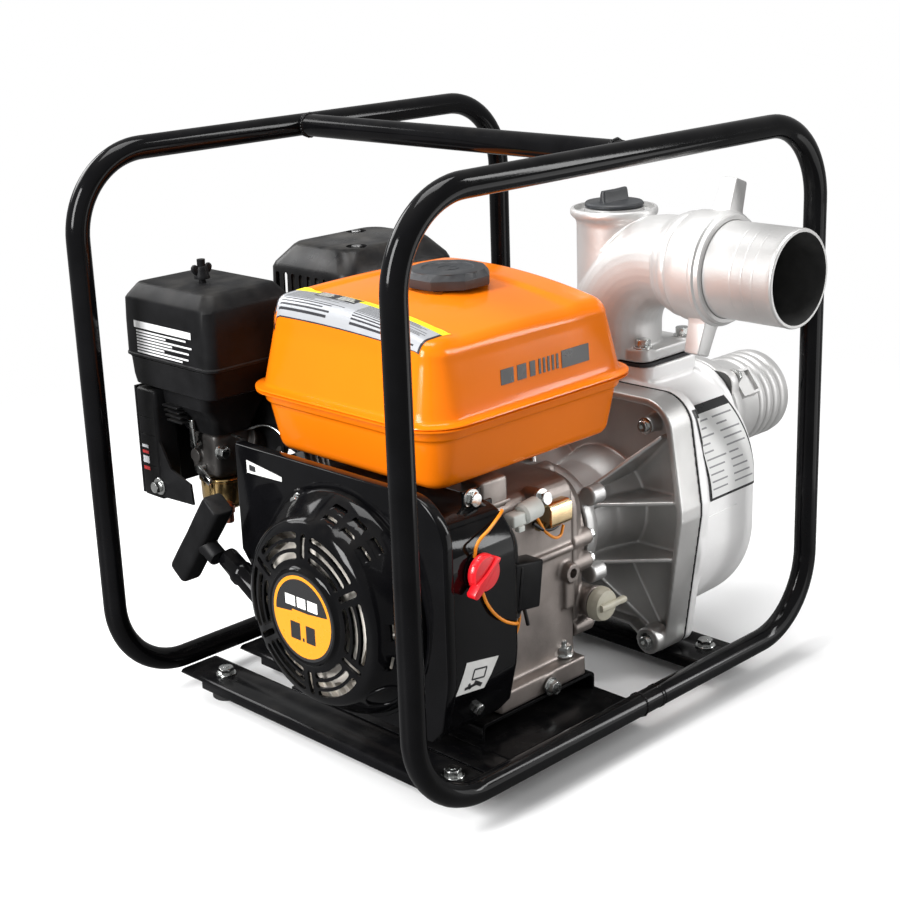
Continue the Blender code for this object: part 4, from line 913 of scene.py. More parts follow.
def radial_slot(start, end, width, degrees):
    """A straight slot with round ends that points away from the crank axis."""
    half = width / 2
    points = arc((end, 0), half, -90, 90, 6) + arc((start, 0), half, 90, 270, 6)
    angle = math.radians(degrees)
    return [(-(u * math.cos(angle) - v * math.sin(angle)), u * math.sin(angle) + v * math.cos(angle))
            for u, v in points]


FLANK_SLOTS = [-17, 2, 48, 63, 78]
EAR_ANGLES = (28, 118, 248)


def flank_height(radius):
    """Height of the starter's sloping flank above its base."""
    return COVER_DEPTH - 0.015 - (radius - 0.0746) * (0.0325 - 0.015) / (0.0862 - 0.0746)


def build_recoil_cover():
    deep = COVER_DEPTH
    wall = 0.0022
    skin = [(0, deep - 0.0006), (0.0352, deep - 0.0006), (0.036, deep), (0.0372, deep),
            (0.0378, deep - 0.0008),
            (0.0388, deep - 0.0026), (0.041, deep - 0.0036), (0.056, deep - 0.0046), (0.066, deep - 0.0064),
            (0.0705, deep - 0.0082), (0.073, deep - 0.0108), (0.0746, deep - 0.015), (0.08, deep - 0.0235),
            (0.0862, deep - 0.0325), (0.0882, deep - 0.0362), (0.089, 0.005), (0.089, 0.0003)]
    inside = [(max(radius - wall * 0.9, 0.0), height - wall if height > 0.004 else height)
              for radius, height in reversed(skin)]
    inside[-1] = (0, inside[-1][1])
    dome = lathe("dome", skin + inside, (COVER_BASE, CRANK_Y, CRANK_Z), -X, 120)
    front, back = COVER_BASE - deep - 0.01, COVER_BASE - deep + 0.03
    cutters = []
    for sector in range(6):
        middle = 60 * sector
        for radius, half_sweep in ((0.0468, 19), (0.0545, 20.5), (0.0622, 21)):
            outline = slot_outline(radius, 0.005, middle - half_sweep, middle + half_sweep)
            cutters.append(crank_cutter(outline, front, back))
        cutters.append(crank_cutter(radial_slot(0.0475, 0.0625, 0.0048, middle + 30), front, back))
    for middle in FLANK_SLOTS:
        for radius in (0.0772, 0.0834):
            outline = slot_outline(radius, 0.003, middle - 4.0, middle + 4.0, 4)
            cutters.append(crank_cutter(outline, COVER_BASE - deep + 0.002, COVER_BASE - 0.006))
    for middle in (-74, -81, -88):
        outline = radial_slot(0.0775, 0.084, 0.0032, middle)
        cutters.append(crank_cutter(outline, COVER_BASE - deep + 0.002, COVER_BASE - 0.006))
    boolean(dome, [merge("windows", *cutters)], solver="MANIFOLD")
    solids = [dome]
    for i, degrees in enumerate(EAR_ANGLES):
        ear = crank_point(COVER_BASE, 0.0835, degrees)
        solids.append(lathe("ear", [(0, 0.0012), (0.0092, 0.0012), (0.0092, 0.006), (0.0082, 0.007),
                                    (0, 0.007)], ear, -X, 32))
    # A raised outline on the lower flank, three corners with a soft bend between them.
    corners = [(0.0768, -52), (0.085, -50), (0.085, -34), (0.0768, -38)]
    ring = [crank_point(COVER_BASE - flank_height(radius), radius, degrees) for radius, degrees in corners]
    solids.append(tube("pad", ring, 0.0013, cyclic=True, sides=12, smooth=True))
    solids.append(rope_guide())
    piece(merge("recoil_cover_pressing", *solids), "cover_paint", cad="recoil_cover", sharp=40)
    for i, degrees in enumerate(EAR_ANGLES):
        ear = crank_point(COVER_BASE - 0.007, 0.0835, degrees)
        hex_bolt(f"recoil_bolt_{i}", ear, -X, 0.008, 0.0045, 0.0062, twist=20 * i)


HANDLE_CENTRE = Vector((-0.202, 0.102, 0.166))
PULL = Vector((0, math.cos(math.radians(30)), math.sin(math.radians(30))))
ROPE_GUIDE_X = -0.194


def rope_guide():
    start = Vector((ROPE_GUIDE_X, HANDLE_CENTRE.y, HANDLE_CENTRE.z)) - PULL * 0.08
    profile = [(0.004, 0), (0.0088, 0), (0.0088, 0.028), (0.0102, 0.0305), (0.0102, 0.0355), (0.009, 0.038),
               (0.0088, 0.052), (0.008, 0.0545), (0.004, 0.0545)]
    return lathe("guide", profile, start, PULL, 40, closed=True)


def build_recoil_handle():
    """A square-ended grip with soft edges, a collar and the short stem that meets the guide."""
    outline = rounded_rectangle(0.0098, 0.0108, 0.0042, 5)
    rings = []
    levels = [(-0.044, 0.82), (-0.0436, 0.91), (-0.0425, 0.965), (-0.04, 1.0), (-0.02, 1.0), (0.0, 0.975),
              (0.02, 1.0), (0.04, 1.0), (0.0425, 0.965), (0.0436, 0.91), (0.044, 0.82)]
    tilt = Matrix.Rotation(math.radians(37), 3, "X")
    for height, scale in levels:
        rings.append([HANDLE_CENTRE + tilt @ Vector((u * scale, v * scale - 0.001, height)) for u,
                      v in outline])
    grip = loft("grip", rings)
    stem = lathe("stem", [(0, 0), (0.0074, 0), (0.008, 0.0015), (0.008, 0.011), (0.0086, 0.014),
                          (0.0086, 0.02),
                          (0, 0.02)], HANDLE_CENTRE - PULL * 0.0252, PULL, 32)
    piece(merge("recoil_handle_grip", grip, stem), "black_plastic", "recoil_handle",
          "recoil_handle", sharp=40)


def build_fan():
    """Flywheel with its fan: a backing plate, swept blades, a rim ring and the starter cup."""
    centre = (-0.165, CRANK_Y, CRANK_Z)
    hub = lathe("hub", [(0.0123, -0.0085), (0.02, -0.0085), (0.03, -0.004), (0.0305, 0.03),
                        (0.074, 0.03), (0.075, 0.0315), (0.075, 0.044), (0.0735, 0.045),
                        (0.0123, 0.045)], centre, X, 96, closed=True)
    solids = [hub]
    blades = 20

    def blade():
        inner, outer = [], []
        for i in range(7):
            radius = 0.032 + 0.041 * i / 6
            swept = 0.36 * (i / 6) ** 1.4
            thick = 0.0009 / radius
            inner.append((-radius * math.cos(swept - thick), radius * math.sin(swept - thick)))
            outer.append((-radius * math.cos(swept + thick), radius * math.sin(swept + thick)))
        return prism("blade", inner + outer[::-1], 0.03, (centre[0] + 0.0158, CRANK_Y, CRANK_Z), X)

    solids += repeat(blades, blade, X, centre)
    solids.append(lathe("rim", [(0.07, 0.0), (0.0745, 0.0), (0.0745, 0.0022), (0.07, 0.0022)], centre, X, 96,
                        closed=True))
    piece(merge("flywheel_fan_casting", *solids), "fan_metal", "crank", "flywheel_fan", sharp=35)
    cup = lathe("cup", [(0.033, -0.006), (0.035, -0.006), (0.0355, 0.0008), (0.033, 0.0008)], centre, X, 72,
                closed=True)
    piece(merge("starter_cup", cup), "zinc", "crank")


def housing_outline(inset, top):
    near = -0.1535 + inset
    shoulder = 0.036
    bottom = CRANK_Z - 0.09 + inset
    points = arc((near + shoulder, top - shoulder - inset), shoulder, 90, 180, 14)
    points += [(near, 0.11), (near + 0.0012, 0.098), (near + 0.009, bottom + 0.012), (near + 0.02, bottom)]
    points += arc((CRANK_Y, CRANK_Z), 0.09 - inset, 270, 330, 20)
    points += [(0.08 - inset, 0.155 + inset / 2), (0.08 - inset, top - inset)]
    return points


def build_housing():
    wall, lip = 0.0022, 0.0008
    front, back = HOUSING_X

    def slab(inset, top, x0, x1):
        return prism("slab", housing_outline(inset, top), x1 - x0, ((x0 + x1) / 2, 0, 0), X)

    body = slab(0, HOUSING_TOP, front + 0.0004, back)
    body = round_edges(body, 0.006, 5, 50)
    plate = round_edges(slab(-lip, HOUSING_FRONT_TOP, front, front + 0.01), 0.0022, 3, 50)
    boolean(body, [plate], "UNION")
    hollow = slab(wall, HOUSING_TOP, front + wall, back + 0.01)
    front_hollow = slab(wall + lip, HOUSING_FRONT_TOP, front + wall - lip, front + 0.01 - wall)
    mouth = rod("mouth", (front - 0.01, CRANK_Y, CRANK_Z), (front + 0.01, CRANK_Y, CRANK_Z), 0.0745, sides=90)
    boolean(body, [hollow, front_hollow, mouth])
    body.name = "blower_housing_pressing"
    # A pressed ring round the starter and a bead along the near side.
    step = lathe("step", [(0.0892, -0.0004), (0.0935, -0.0004), (0.0925, 0.0011), (0.0905, 0.0014),
                          (0.0892, 0.0008)], (front, CRANK_Y, CRANK_Z), -X, 120, closed=True)
    low = CRANK_Z - 0.0885
    keep = box("keep", (front - 0.01, -0.148, low), (front + 0.002, 0.078, 0.24))
    boolean(step, [keep], "INTERSECT")
    rim = lathe("rim", [(0.0, 0), (0.015, 0), (0.0146, 0.0008), (0.0132, 0.0012), (0.0, 0.0012)],
                (-0.143, -0.153, 0.184), -Y, 60)
    merged = merge("blower_housing_pressing", body, step, rim)
    return piece(merged, "cover_paint", cad="blower_housing", sharp=40)


def build_housing_details(skin):
    hex_bolt("housing_bolt_low", (-0.141, -0.1435, 0.0722), (0, -1, -0.35), 0.0085, 0.0045, 0.0068, twist=12)
    white = plain_print("sticker_paper", (0.72, 0.72, 0.7))
    ink = plain_print("sticker_ink", (0.02, 0.02, 0.022))
    y = -0.17
    quad = [(-0.169, y, 0.0925), (-0.138, y, 0.0885), (-0.125, y, 0.111), (-0.1585, y, 0.1165)]
    sticker("side_sticker", quad, white, skin, LAID, (16, 10), toward=Y)
    # The drawing on it: a plain outline of a box over a few strokes.
    strokes = [((-0.1505, 0.1085), (-0.1375, 0.1065), 0.0006), ((-0.1375, 0.1065), (-0.14, 0.099), 0.0006),
               ((-0.14, 0.099), (-0.153, 0.101), 0.0006), ((-0.153, 0.101), (-0.1505, 0.1085), 0.0006),
               ((-0.16, 0.0955), (-0.145, 0.096), 0.0012), ((-0.156, 0.0985), (-0.154, 0.0938), 0.0012),
               ((-0.15, 0.098), (-0.142, 0.093), 0.0016)]
    for i, (first, last, half) in enumerate(strokes):
        a, b = Vector((first[0], y, first[1])), Vector((last[0], y, last[1]))
        side = (b - a).normalized().cross(Y) * half
        sticker(f"side_sticker_stroke_{i}", [a - side, b - side, b + side, a + side], ink, skin, ON_TOP,
                (6, 2),
                toward=Y)
    x = -0.19
    wedge = [(x, 0.0655, 0.2225), (x, 0.0225, 0.2238), (x, 0.0225, 0.2275), (x, 0.0655, 0.233)]
    sticker("lever_mark", wedge, white, skin, LAID, (16, 6), toward=X)
    glyph = [(x, 0.062, 0.225), (x, 0.0545, 0.225), (x, 0.0545, 0.2292), (x, 0.062, 0.23)]
    sticker("lever_mark_glyph", glyph, ink, skin, ON_TOP, (6, 4), toward=X)


def build_recoil_label():
    """A round badge with rings, a dark upper part and plain bars instead of words."""
    amber, dark, pale = (0.82, 0.29, 0.006), (0.012, 0.012, 0.013), (0.85, 0.85, 0.82)
    surface = Surface("badge", amber, 0.28, coat=0.4)
    spot = surface.node("ShaderNodeSeparateXYZ")
    surface.links.new(surface.node("ShaderNodeUVMap").outputs["UV"], spot.inputs[0])
    across, up = spot.outputs["X"], spot.outputs["Y"]
    u = surface.math("SUBTRACT", across, 0.5)
    v = surface.math("SUBTRACT", up, 0.5)
    reach = surface.math("SQRT", surface.math("ADD", surface.math("MULTIPLY", u, u),
                                              surface.math("MULTIPLY", v, v)))

    def window(left, right, low, high):
        inside = surface.math("MULTIPLY", surface.math("GREATER_THAN", across, left),
                              surface.math("LESS_THAN", across, right))
        inside = surface.math("MULTIPLY", inside, surface.math("GREATER_THAN", up, low))
        return surface.math("MULTIPLY", inside, surface.math("LESS_THAN", up, high))

    line = surface.math("ADD", up, surface.math("MULTIPLY", across, -0.1))
    surface.tint(dark, surface.math("GREATER_THAN", line, 0.5))
    for left, right in ((0.24, 0.4), (0.43, 0.57), (0.6, 0.76)):
        surface.tint(pale, window(left, right, 0.6, 0.72))
    for left, right, low, high in ((0.3, 0.46, 0.22, 0.42), (0.55, 0.7, 0.22, 0.42), (0.49, 0.52, 0.22, 0.26),
                                   (0.34, 0.66, 0.535, 0.56)):
        surface.tint(amber if low > 0.5 else dark, window(left, right, low, high))
    surface.tint(amber, surface.math("GREATER_THAN", reach, 0.425))
    surface.tint(dark, surface.math("GREATER_THAN", reach, 0.465))
    surface.gloss(60, 0.05)
    bm = bmesh.new()
    layer = bm.loops.layers.uv.new("UVMap")
    radius, x = 0.0351, COVER_BASE - COVER_DEPTH + 0.0006 - 0.0001
    rings = [[bm.verts.new((x, CRANK_Y, CRANK_Z))]]
    for k in range(1, 9):
        rings.append([bm.verts.new(crank_point(x, radius * k / 8, 360 * i / 72)) for i in range(72)])
    for inner, outer in zip(rings, rings[1:]):
        for i in range(72):
            corners = [outer[i - 1], outer[i]] + ([inner[i], inner[i - 1]] if len(inner) > 1 else [inner[0]])
            bm.faces.new(corners)
    for face in bm.faces:
        for loop in face.loops:
            offset = loop.vert.co - Vector((x, CRANK_Y, CRANK_Z))
            loop[layer].uv = (0.5 - offset.y / radius / 2, 0.5 + offset.z / radius / 2)
    bmesh.ops.recalc_face_normals(bm, faces=bm.faces)
    piece(thicken(to_object(bm, "recoil_badge"), 0.0003), surface.material)


def build_switch():
    centre = Vector((-0.143, -0.154, 0.184))
    plate = lathe("engine_switch_bezel", [(0, 0), (0.0118, 0), (0.012, 0.0004), (0.012, 0.001),
                                          (0.0114, 0.0014), (0, 0.0014)], centre, -Y, 60)
    piece(plate, "black_plastic", cad="engine_switch_body")
    face = centre - Y * 0.0018
    dial = lathe("dial", [(0, 0), (0.0136, 0), (0.0143, 0.0006), (0.0143, 0.0022), (0.0137, 0.003),
                          (0.0135, 0.0058), (0.0125, 0.007), (0.008, 0.0074), (0, 0.0074)], face, -Y, 72)
    outline = arc((0, -0.0185), 0.003, 180, 360, 8) + [(0.004, -0.011), (0.0022, 0.0), (0.0016, 0.011)]
    outline += arc((0, 0.0135), 0.0014, 0, 180, 6) + [(-0.0016, 0.011), (-0.0022, 0.0), (-0.004, -0.011)]
    bar = round_edges(prism("bar", outline, 0.0085, face - Y * 0.0056, Y), 0.0007, 2)
    turn(bar, Y, 48, face)
    notches = repeat(14, lambda: box("grip", (face.x - 0.0006, face.y - 0.0056, face.z + 0.0131),
                                       (face.x + 0.0006, face.y - 0.0032, face.z + 0.014), 0.0003, 1), Y,
                     face)
    piece(merge("engine_switch_dial", dial, bar, *notches), "red_plastic", "engine_switch_knob",
          "engine_switch_knob")


# ---------------------------------------------------------------- pump
FLANGE_X = (0.112, 0.1397)
SUCTION = Vector((0.236, -0.058, 0.199))
SUCTION_END = 0.331
OUTLET_X, OUTLET_Y = 0.168, -0.027
DISCHARGE_Z = 0.353
DISCHARGE_END = -0.214
NECK_TOP = 0.394
NUT_Y = (-0.112, -0.148)
COLLAR_Y = -0.14
NECK_Y = OUTLET_Y + 0.003
ELBOW_BOLTS = ((-0.015, -0.0405), (-0.015, 0.0405), (0.0405, -0.0405), (0.0405, 0.0405))


def flange_outline(inset):
    """The pump joint's outline, as (y, z) offsets from the crank axis."""
    half = arc((0.0565, 0.218), 0.03 - inset, 90, 15, 12)
    half += [(0.0965 - inset, 0.155), (0.0965 - inset, 0.145)]
    half += arc((0.068, 0.034), 0.0125 - inset / 3, 0, -110, 12)
    half += [(0.04, 0.038 + inset / 2)]
    near = [(-y, z) for y, z in reversed(half)]
    return [(y, z - CRANK_Z) for y, z in half + near]


def flange_plate(inset, x0, x1):
    return prism("plate", flange_outline(inset), x1 - x0, ((x0 + x1) / 2, CRANK_Y, CRANK_Z), X)


def crank_rib(length, degrees, height=0.0):
    """A web from the bearing boss out to the rim, turned from straight up towards the near side."""
    outline = [(0.012, 0.02), (0.039, 0.022), (length, 0.069), (length, 0.088), (0.012, 0.0905)]
    rib = prism("rib", outline, 0.0037, (0, 0, 0), Y, X)
    rib.data.transform(Matrix.Translation((0.0446, CRANK_Y, CRANK_Z + height))
                       @ Matrix.Rotation(math.radians(degrees), 4, "X"))
    return rib


def build_bracket():
    rim = flange_plate(0, FLANGE_X[0], FLANGE_X[1] - 0.0004)
    boolean(rim, [flange_plate(0.0062, FLANGE_X[0] - 0.01, 0.125)])
    axis = (0.0446, CRANK_Y, CRANK_Z)
    boss = lathe("boss", [(0, 0), (0.052, 0), (0.052, 0.008), (0.0505, 0.014), (0.041, 0.0215),
                          (0.042, 0.05), (0.05, 0.082), (0, 0.082)], axis, X, 96)
    solids = [rim, boss]
    for side in (-1, 1):
        solids += [crank_rib(0.104, side * 45), crank_rib(0.119, side * 148),
                   crank_rib(0.09, side * 90, 0.018), crank_rib(0.088, side * 90, -0.033)]
        y = CRANK_Y + side * 0.068
        solids.append(rod("lug", (0.102, y, 0.034), (0.12, y, 0.034), 0.012, sides=48))
        y = CRANK_Y + side * 0.06
        solids.append(rod("corner", (0.11, y, 0.225), (0.128, y, 0.225), 0.0072, sides=40))
        for height in (0.062, -0.062):
            place = Vector((0.0455, CRANK_Y + side * 0.05, CRANK_Z + height * 0.55))
            solids.append(rod("stud_boss", place, place + X * 0.016, 0.0085, sides=36))
    bore = rod("bore", (0.03, CRANK_Y, CRANK_Z), (0.15, CRANK_Y, CRANK_Z), 0.0168, sides=64)
    body = cast("pump_bracket_casting", solids, [bore], 0.00125, 3)
    piece(body, "bracket_casting", cad="pump_bracket", sharp=180)
    for side, label in ((-1, "near"), (1, "far")):
        socket_bolt(f"bracket_lug_screw_{label}", (0.1016, CRANK_Y + side * 0.068, 0.034), -X, 0.0052, 0.0045,
                    0.0078)
        socket_bolt(f"bracket_top_screw_{label}", (0.1096, CRANK_Y + side * 0.06, 0.225), -X, 0.005, 0.005,
                    0.0072)


def drum_ring(x, inset):
    outline = rounded_rectangle(0.094 - inset, 0.112 - inset, 0.088 - inset, 24, 2)
    return [Vector((x, CRANK_Y + y, 0.139 + z)) for y, z in outline]


def build_casing():
    rings = [drum_ring(x, inset) for x, inset in
             ((0.144, 0.0006), (0.156, 0.001), (0.19, 0.002), (0.214, 0.0024), (0.22, 0.003),
              (0.2245, 0.0046), (0.2272, 0.0078), (0.2285, 0.012))]
    drum = loft("drum", rings)
    flange = flange_plate(0, 0.1403, 0.151)
    pad = box("pad", (OUTLET_X - 0.0165, OUTLET_Y - 0.05, 0.2), (OUTLET_X + 0.051, OUTLET_Y + 0.05, 0.25),
              0.012, 5, 2)
    pad_lip = box("pad_lip", (OUTLET_X - 0.0215, OUTLET_Y - 0.052, 0.25),
                  (OUTLET_X + 0.051, OUTLET_Y + 0.052, 0.262), 0.011, 5, 2)
    inlet = lathe("inlet", [(0, 0), (0.053, 0), (0.051, 0.006), (0.05, 0.017), (0, 0.017)],
                  SUCTION - X * 0.017, X, 80)
    drain = rod("drain", (0.222, CRANK_Y, 0.056), (0.2285, CRANK_Y, 0.056), 0.015, sides=40)
    solids = [drum, flange, pad, pad_lip, inlet, drain]
    hollow = loft("hollow", [drum_ring(x, inset) for x, inset in
                             ((0.13, 0.008), (0.19, 0.0085), (0.218, 0.01), (0.2225, 0.018))])
    mouth = rod("mouth", (0.2, SUCTION.y, SUCTION.z), (0.25, SUCTION.y, SUCTION.z), 0.03, sides=72)
    outlet = rod("outlet", (OUTLET_X + 0.012, OUTLET_Y, 0.2), (OUTLET_X + 0.012, OUTLET_Y, 0.28), 0.03,
                 sides=72)
    body = cast("pump_casing_casting", solids, [hollow, mouth, outlet], 0.0014, 3)
    skin = piece(body, "drum_casting", cad="pump_casing", sharp=180)
    joint = round_edges(flange_plate(-0.0003, FLANGE_X[1] - 0.0006, 0.1405), 0.0001, 1)
    joint.name = "pump_joint_gasket"
    boolean(joint, [rod("opening", (0.13, CRANK_Y, CRANK_Z), (0.15, CRANK_Y, CRANK_Z), 0.06, sides=72)])
    piece(joint, "gasket")
    line = tube("casing_mould_line",
                [(x, CRANK_Y - 0.0933 + (x - 0.15) * 0.03, 0.139) for x in (0.153, 0.175, 0.196)],
                0.0007, sides=12)
    piece(line, "drum_casting")
    hex_bolt("casing_drain_hex", (0.2288, CRANK_Y, 0.056), X, 0.019, 0.0085, 0.0115, twist=10,
             cad="casing_drain_plug")
    return skin


def build_rating_label(skin):
    """Rating plate: a white sheet with a black border, a dark head and rows of bars."""
    low, high = 0.1525, 0.218
    border = plain_print("rating_border", (0.012, 0.012, 0.013), 0.3)
    sheet = printed("rating_sheet", (0.86, 0.86, 0.85), (0.3, 0.3, 0.31), 11, share=0.22)
    away = -0.17

    def corners(grow, top, bottom):
        return [(low + 0.006 - grow, away, bottom), (high + 0.004 + grow, away, bottom),
                (high - 0.004 + grow, away, top), (low - 0.006 - grow, away, top)]

    toward = Vector((0, 1, -0.3))
    sticker("rating_border", corners(0.0022, 0.247, 0.162), border, skin, 0.0007, (36, 56), toward=toward)
    sticker("rating_sheet", corners(0.0, 0.239, 0.1645), sheet, skin, 0.0011, (36, 56), toward=toward)


TAIL_BORE = 0.0375


def hose_tail(base, ridges, length):
    """Profile of a hose tail with rounded ridges; base is the (radius, height) outline of its root."""
    profile = list(base)
    for start, height in ridges:
        profile += [(0.0386, start), (0.0398, start + 0.0012), (0.0404 + height, start + 0.003),
                    (0.0405 + height, start + 0.0062), (0.0396, start + 0.0078)]
    profile += [(0.0398, length - 0.0016), (0.0392, length - 0.0003), (0.0386, length),
                (TAIL_BORE + 0.0002, length), (TAIL_BORE, length - 0.0006), (TAIL_BORE, 0.0)]
    return profile


def darken_bore(tail, centre, axis):
    """Gives the faces inside a hose tail a dull, dark finish: painted shade for the shadow deep in the bore."""
    tail.data.materials.append(MATERIALS["bore_painted_shade"])
    for face in tail.data.polygons:
        offset = face.center - Vector(centre) - SHIFT
        if (offset - axis * offset.dot(axis)).length < TAIL_BORE + 0.0001:
            face.material_index = 1


def build_suction():
    length = SUCTION_END - SUCTION.x - 0.0003
    start = SUCTION + X * 0.0003
    base = [(0.05, 0.0), (0.0508, 0.001), (0.0508, 0.01), (0.0498, 0.0115), (0.043, 0.0128), (0.0412, 0.016),
            (0.0402, 0.03)]
    profile = hose_tail(base, [(length - 0.0455 + 0.0108 * i, 0.0) for i in range(4)], length)
    tail = lathe("tail", profile, start, X, 96, closed=True)
    lugs = box("lugs", (0, -0.044, -0.044), (0.01, 0.044, 0.044), 0.012, 5, 0)
    lugs.data.transform(Matrix.Translation(start))
    boolean(lugs, [rod("bore", start - X * 0.01, start + X * 0.02, 0.042, sides=96)])
    solids = [tail, round_edges(lugs, 0.0008, 2)]
    # A raised square boss with a sunk face on the near side of the tail.
    frame = box("boss", (0.018, -0.0468, -0.0125), (0.044, -0.036, 0.0125), 0.0012, 2, 1)
    sunk = box("sunk", (0.0205, -0.055, -0.01), (0.0415, -0.0435, 0.01))
    boolean(frame, [sunk])
    frame.data.transform(Matrix.Translation(start) @ Matrix.Rotation(math.radians(-38), 4, "X"))
    solids.append(frame)
    tail = piece(merge("suction_port_casting", *solids), "pump_casting", cad="suction_port", sharp=35)
    darken_bore(tail, start, X)
    for i, (side, up) in enumerate(((-1, 1), (1, 1), (1, -1), (-1, -1))):
        place = start + X * 0.0102 + Y * side * 0.037 + Z * up * 0.037
        hex_bolt(f"suction_bolt_{i}", place, X, 0.01, 0.006, 0.0075, twist=13 * i)


def elbow_path(start_z, end_y):
    bend = 0.06
    turned = arc((OUTLET_Y - bend, DISCHARGE_Z - bend), bend, 0, 90, 28)
    return [(OUTLET_X, OUTLET_Y, start_z)] + [(OUTLET_X, y, z) for y,
                                              z in turned] + [(OUTLET_X, end_y, DISCHARGE_Z)]


def build_elbow():
    base = 0.2656
    end = COLLAR_Y + 0.0003
    flange = box("flange", (OUTLET_X - 0.0245, OUTLET_Y - 0.0495, base + 0.0006),
                 (OUTLET_X + 0.0495, OUTLET_Y + 0.0495, base + 0.0105), 0.012, 6, 2)
    outer = tube("outer", elbow_path(base + 0.002, end), 0.039, sides=72)
    neck = lathe("neck", [(0, base + 0.001), (0.0325, base + 0.001), (0.0325, 0.38), (0.0335, 0.384),
                          (0.0362, 0.3862), (0.0378, 0.388), (0.038, 0.391), (0.0372, NECK_TOP - 0.0004),
                          (0, NECK_TOP - 0.0004)], (OUTLET_X, NECK_Y, 0), Z, 96)
    thread = rod("thread", (OUTLET_X, end, DISCHARGE_Z), (OUTLET_X, -0.1, DISCHARGE_Z), 0.0425, sides=80)
    ring = lathe("ring", [(0, 0), (0.0438, 0), (0.0445, 0.0012), (0.0445, 0.006), (0.0425, 0.0085),
                          (0, 0.0085)],
                 (OUTLET_X, NUT_Y[0] + 0.0003, DISCHARGE_Z), Y, 80)
    groove_ring = lathe("ring", [(0, 0), (0.0405, 0), (0.0412, 0.001), (0.0412, 0.003), (0.04, 0.0045),
                                 (0, 0.0045)],
                        (OUTLET_X, NUT_Y[0] + 0.012, DISCHARGE_Z), Y, 80)
    gusset = prism("gusset", [(0.03, 0), (0.048, 0), (0.04, 0.024), (0.026, 0.04)], 0.006,
                   (OUTLET_X, OUTLET_Y, base + 0.008), X)
    lumps = [rod("bolt_boss", (OUTLET_X + u, OUTLET_Y + v, base + 0.004),
                 (OUTLET_X + u, OUTLET_Y + v, base + 0.0125),
                 0.0088, sides=36) for u, v in ELBOW_BOLTS]
    hollow = tube("hollow", elbow_path(base - 0.02, end - 0.02), 0.0342, sides=64)
    neck_bore = lathe("neck_bore", [(0, 0.33), (0.0225, 0.33), (0.0225, NECK_TOP - 0.0075),
                                    (0.0345, NECK_TOP - 0.005), (0.0352, NECK_TOP + 0.01),
                                    (0, NECK_TOP + 0.01)],
                      (OUTLET_X, NECK_Y, 0), Z, 80)
    seat = lathe("seat", [(0, 0), (0.026, 0), (0.026, 0.0092), (0, 0.0092)],
                 (OUTLET_X, NECK_Y, NECK_TOP - 0.0096), Z, 72)
    boolean(seat, [rod("seat_bore", (OUTLET_X, NECK_Y, NECK_TOP - 0.03), (OUTLET_X, NECK_Y, NECK_TOP + 0.02),
                       0.0225,
                       sides=72)])
    body = cast("discharge_elbow_casting", [flange, outer, neck, thread, ring, groove_ring, gusset] + lumps,
                [hollow, neck_bore], 0.0012, 3)
    body = merge("discharge_elbow_casting", body, seat)
    piece(body, "pump_casting", cad="discharge_elbow", sharp=60)
    gasket = box("outlet_gasket_sheet", (OUTLET_X - 0.025, OUTLET_Y - 0.05, 0.2623),
                 (OUTLET_X + 0.05, OUTLET_Y + 0.05, 0.2653), 0.012, 6, 2)
    boolean(gasket, [rod("hole", (OUTLET_X + 0.012, OUTLET_Y, 0.25), (OUTLET_X + 0.012, OUTLET_Y, 0.28), 0.03,
                         sides=64)])
    piece(gasket, "gasket", cad="outlet_gasket")
    for i, (u, v) in enumerate(ELBOW_BOLTS):
        hex_bolt(f"elbow_bolt_{i}", (OUTLET_X + u, OUTLET_Y + v, base + 0.0122), Z, 0.0118, 0.0065, 0.0082,
                 twist=21 * i)


def build_priming_cap():
    base = Vector((OUTLET_X, NECK_Y, NECK_TOP + 0.0003))
    disc = lathe("disc", [(0, -0.013), (0.0205, -0.013), (0.0213, -0.012), (0.0213, 0.0), (0.0248, 0.0),
                          (0.0255, 0.0008), (0.0255, 0.0026), (0.0244, 0.0038), (0.012, 0.0044), (0, 0.0044)],
                 base, Z, 72)
    rings = []
    for height, length, thick in ((0.003, 0.0172, 0.0048), (0.006, 0.0168, 0.0032), (0.012, 0.0165, 0.0026),
                                  (0.0145, 0.0158, 0.0022), (0.015, 0.0148, 0.0014)):
        outline = rounded_rectangle(length, thick, min(thick * 0.9, 0.0022), 5, 8)
        rings.append([base + Vector((u, v,
                                     height - (0.0022 * (1 - (u / 0.017) ** 2) if height > 0.01 else 0)))
                      for u, v in outline])
    wing = loft("wing", rings)
    piece(merge("priming_cap_moulding", disc, wing), "cap_plastic", "priming_cap", "priming_cap", sharp=40)


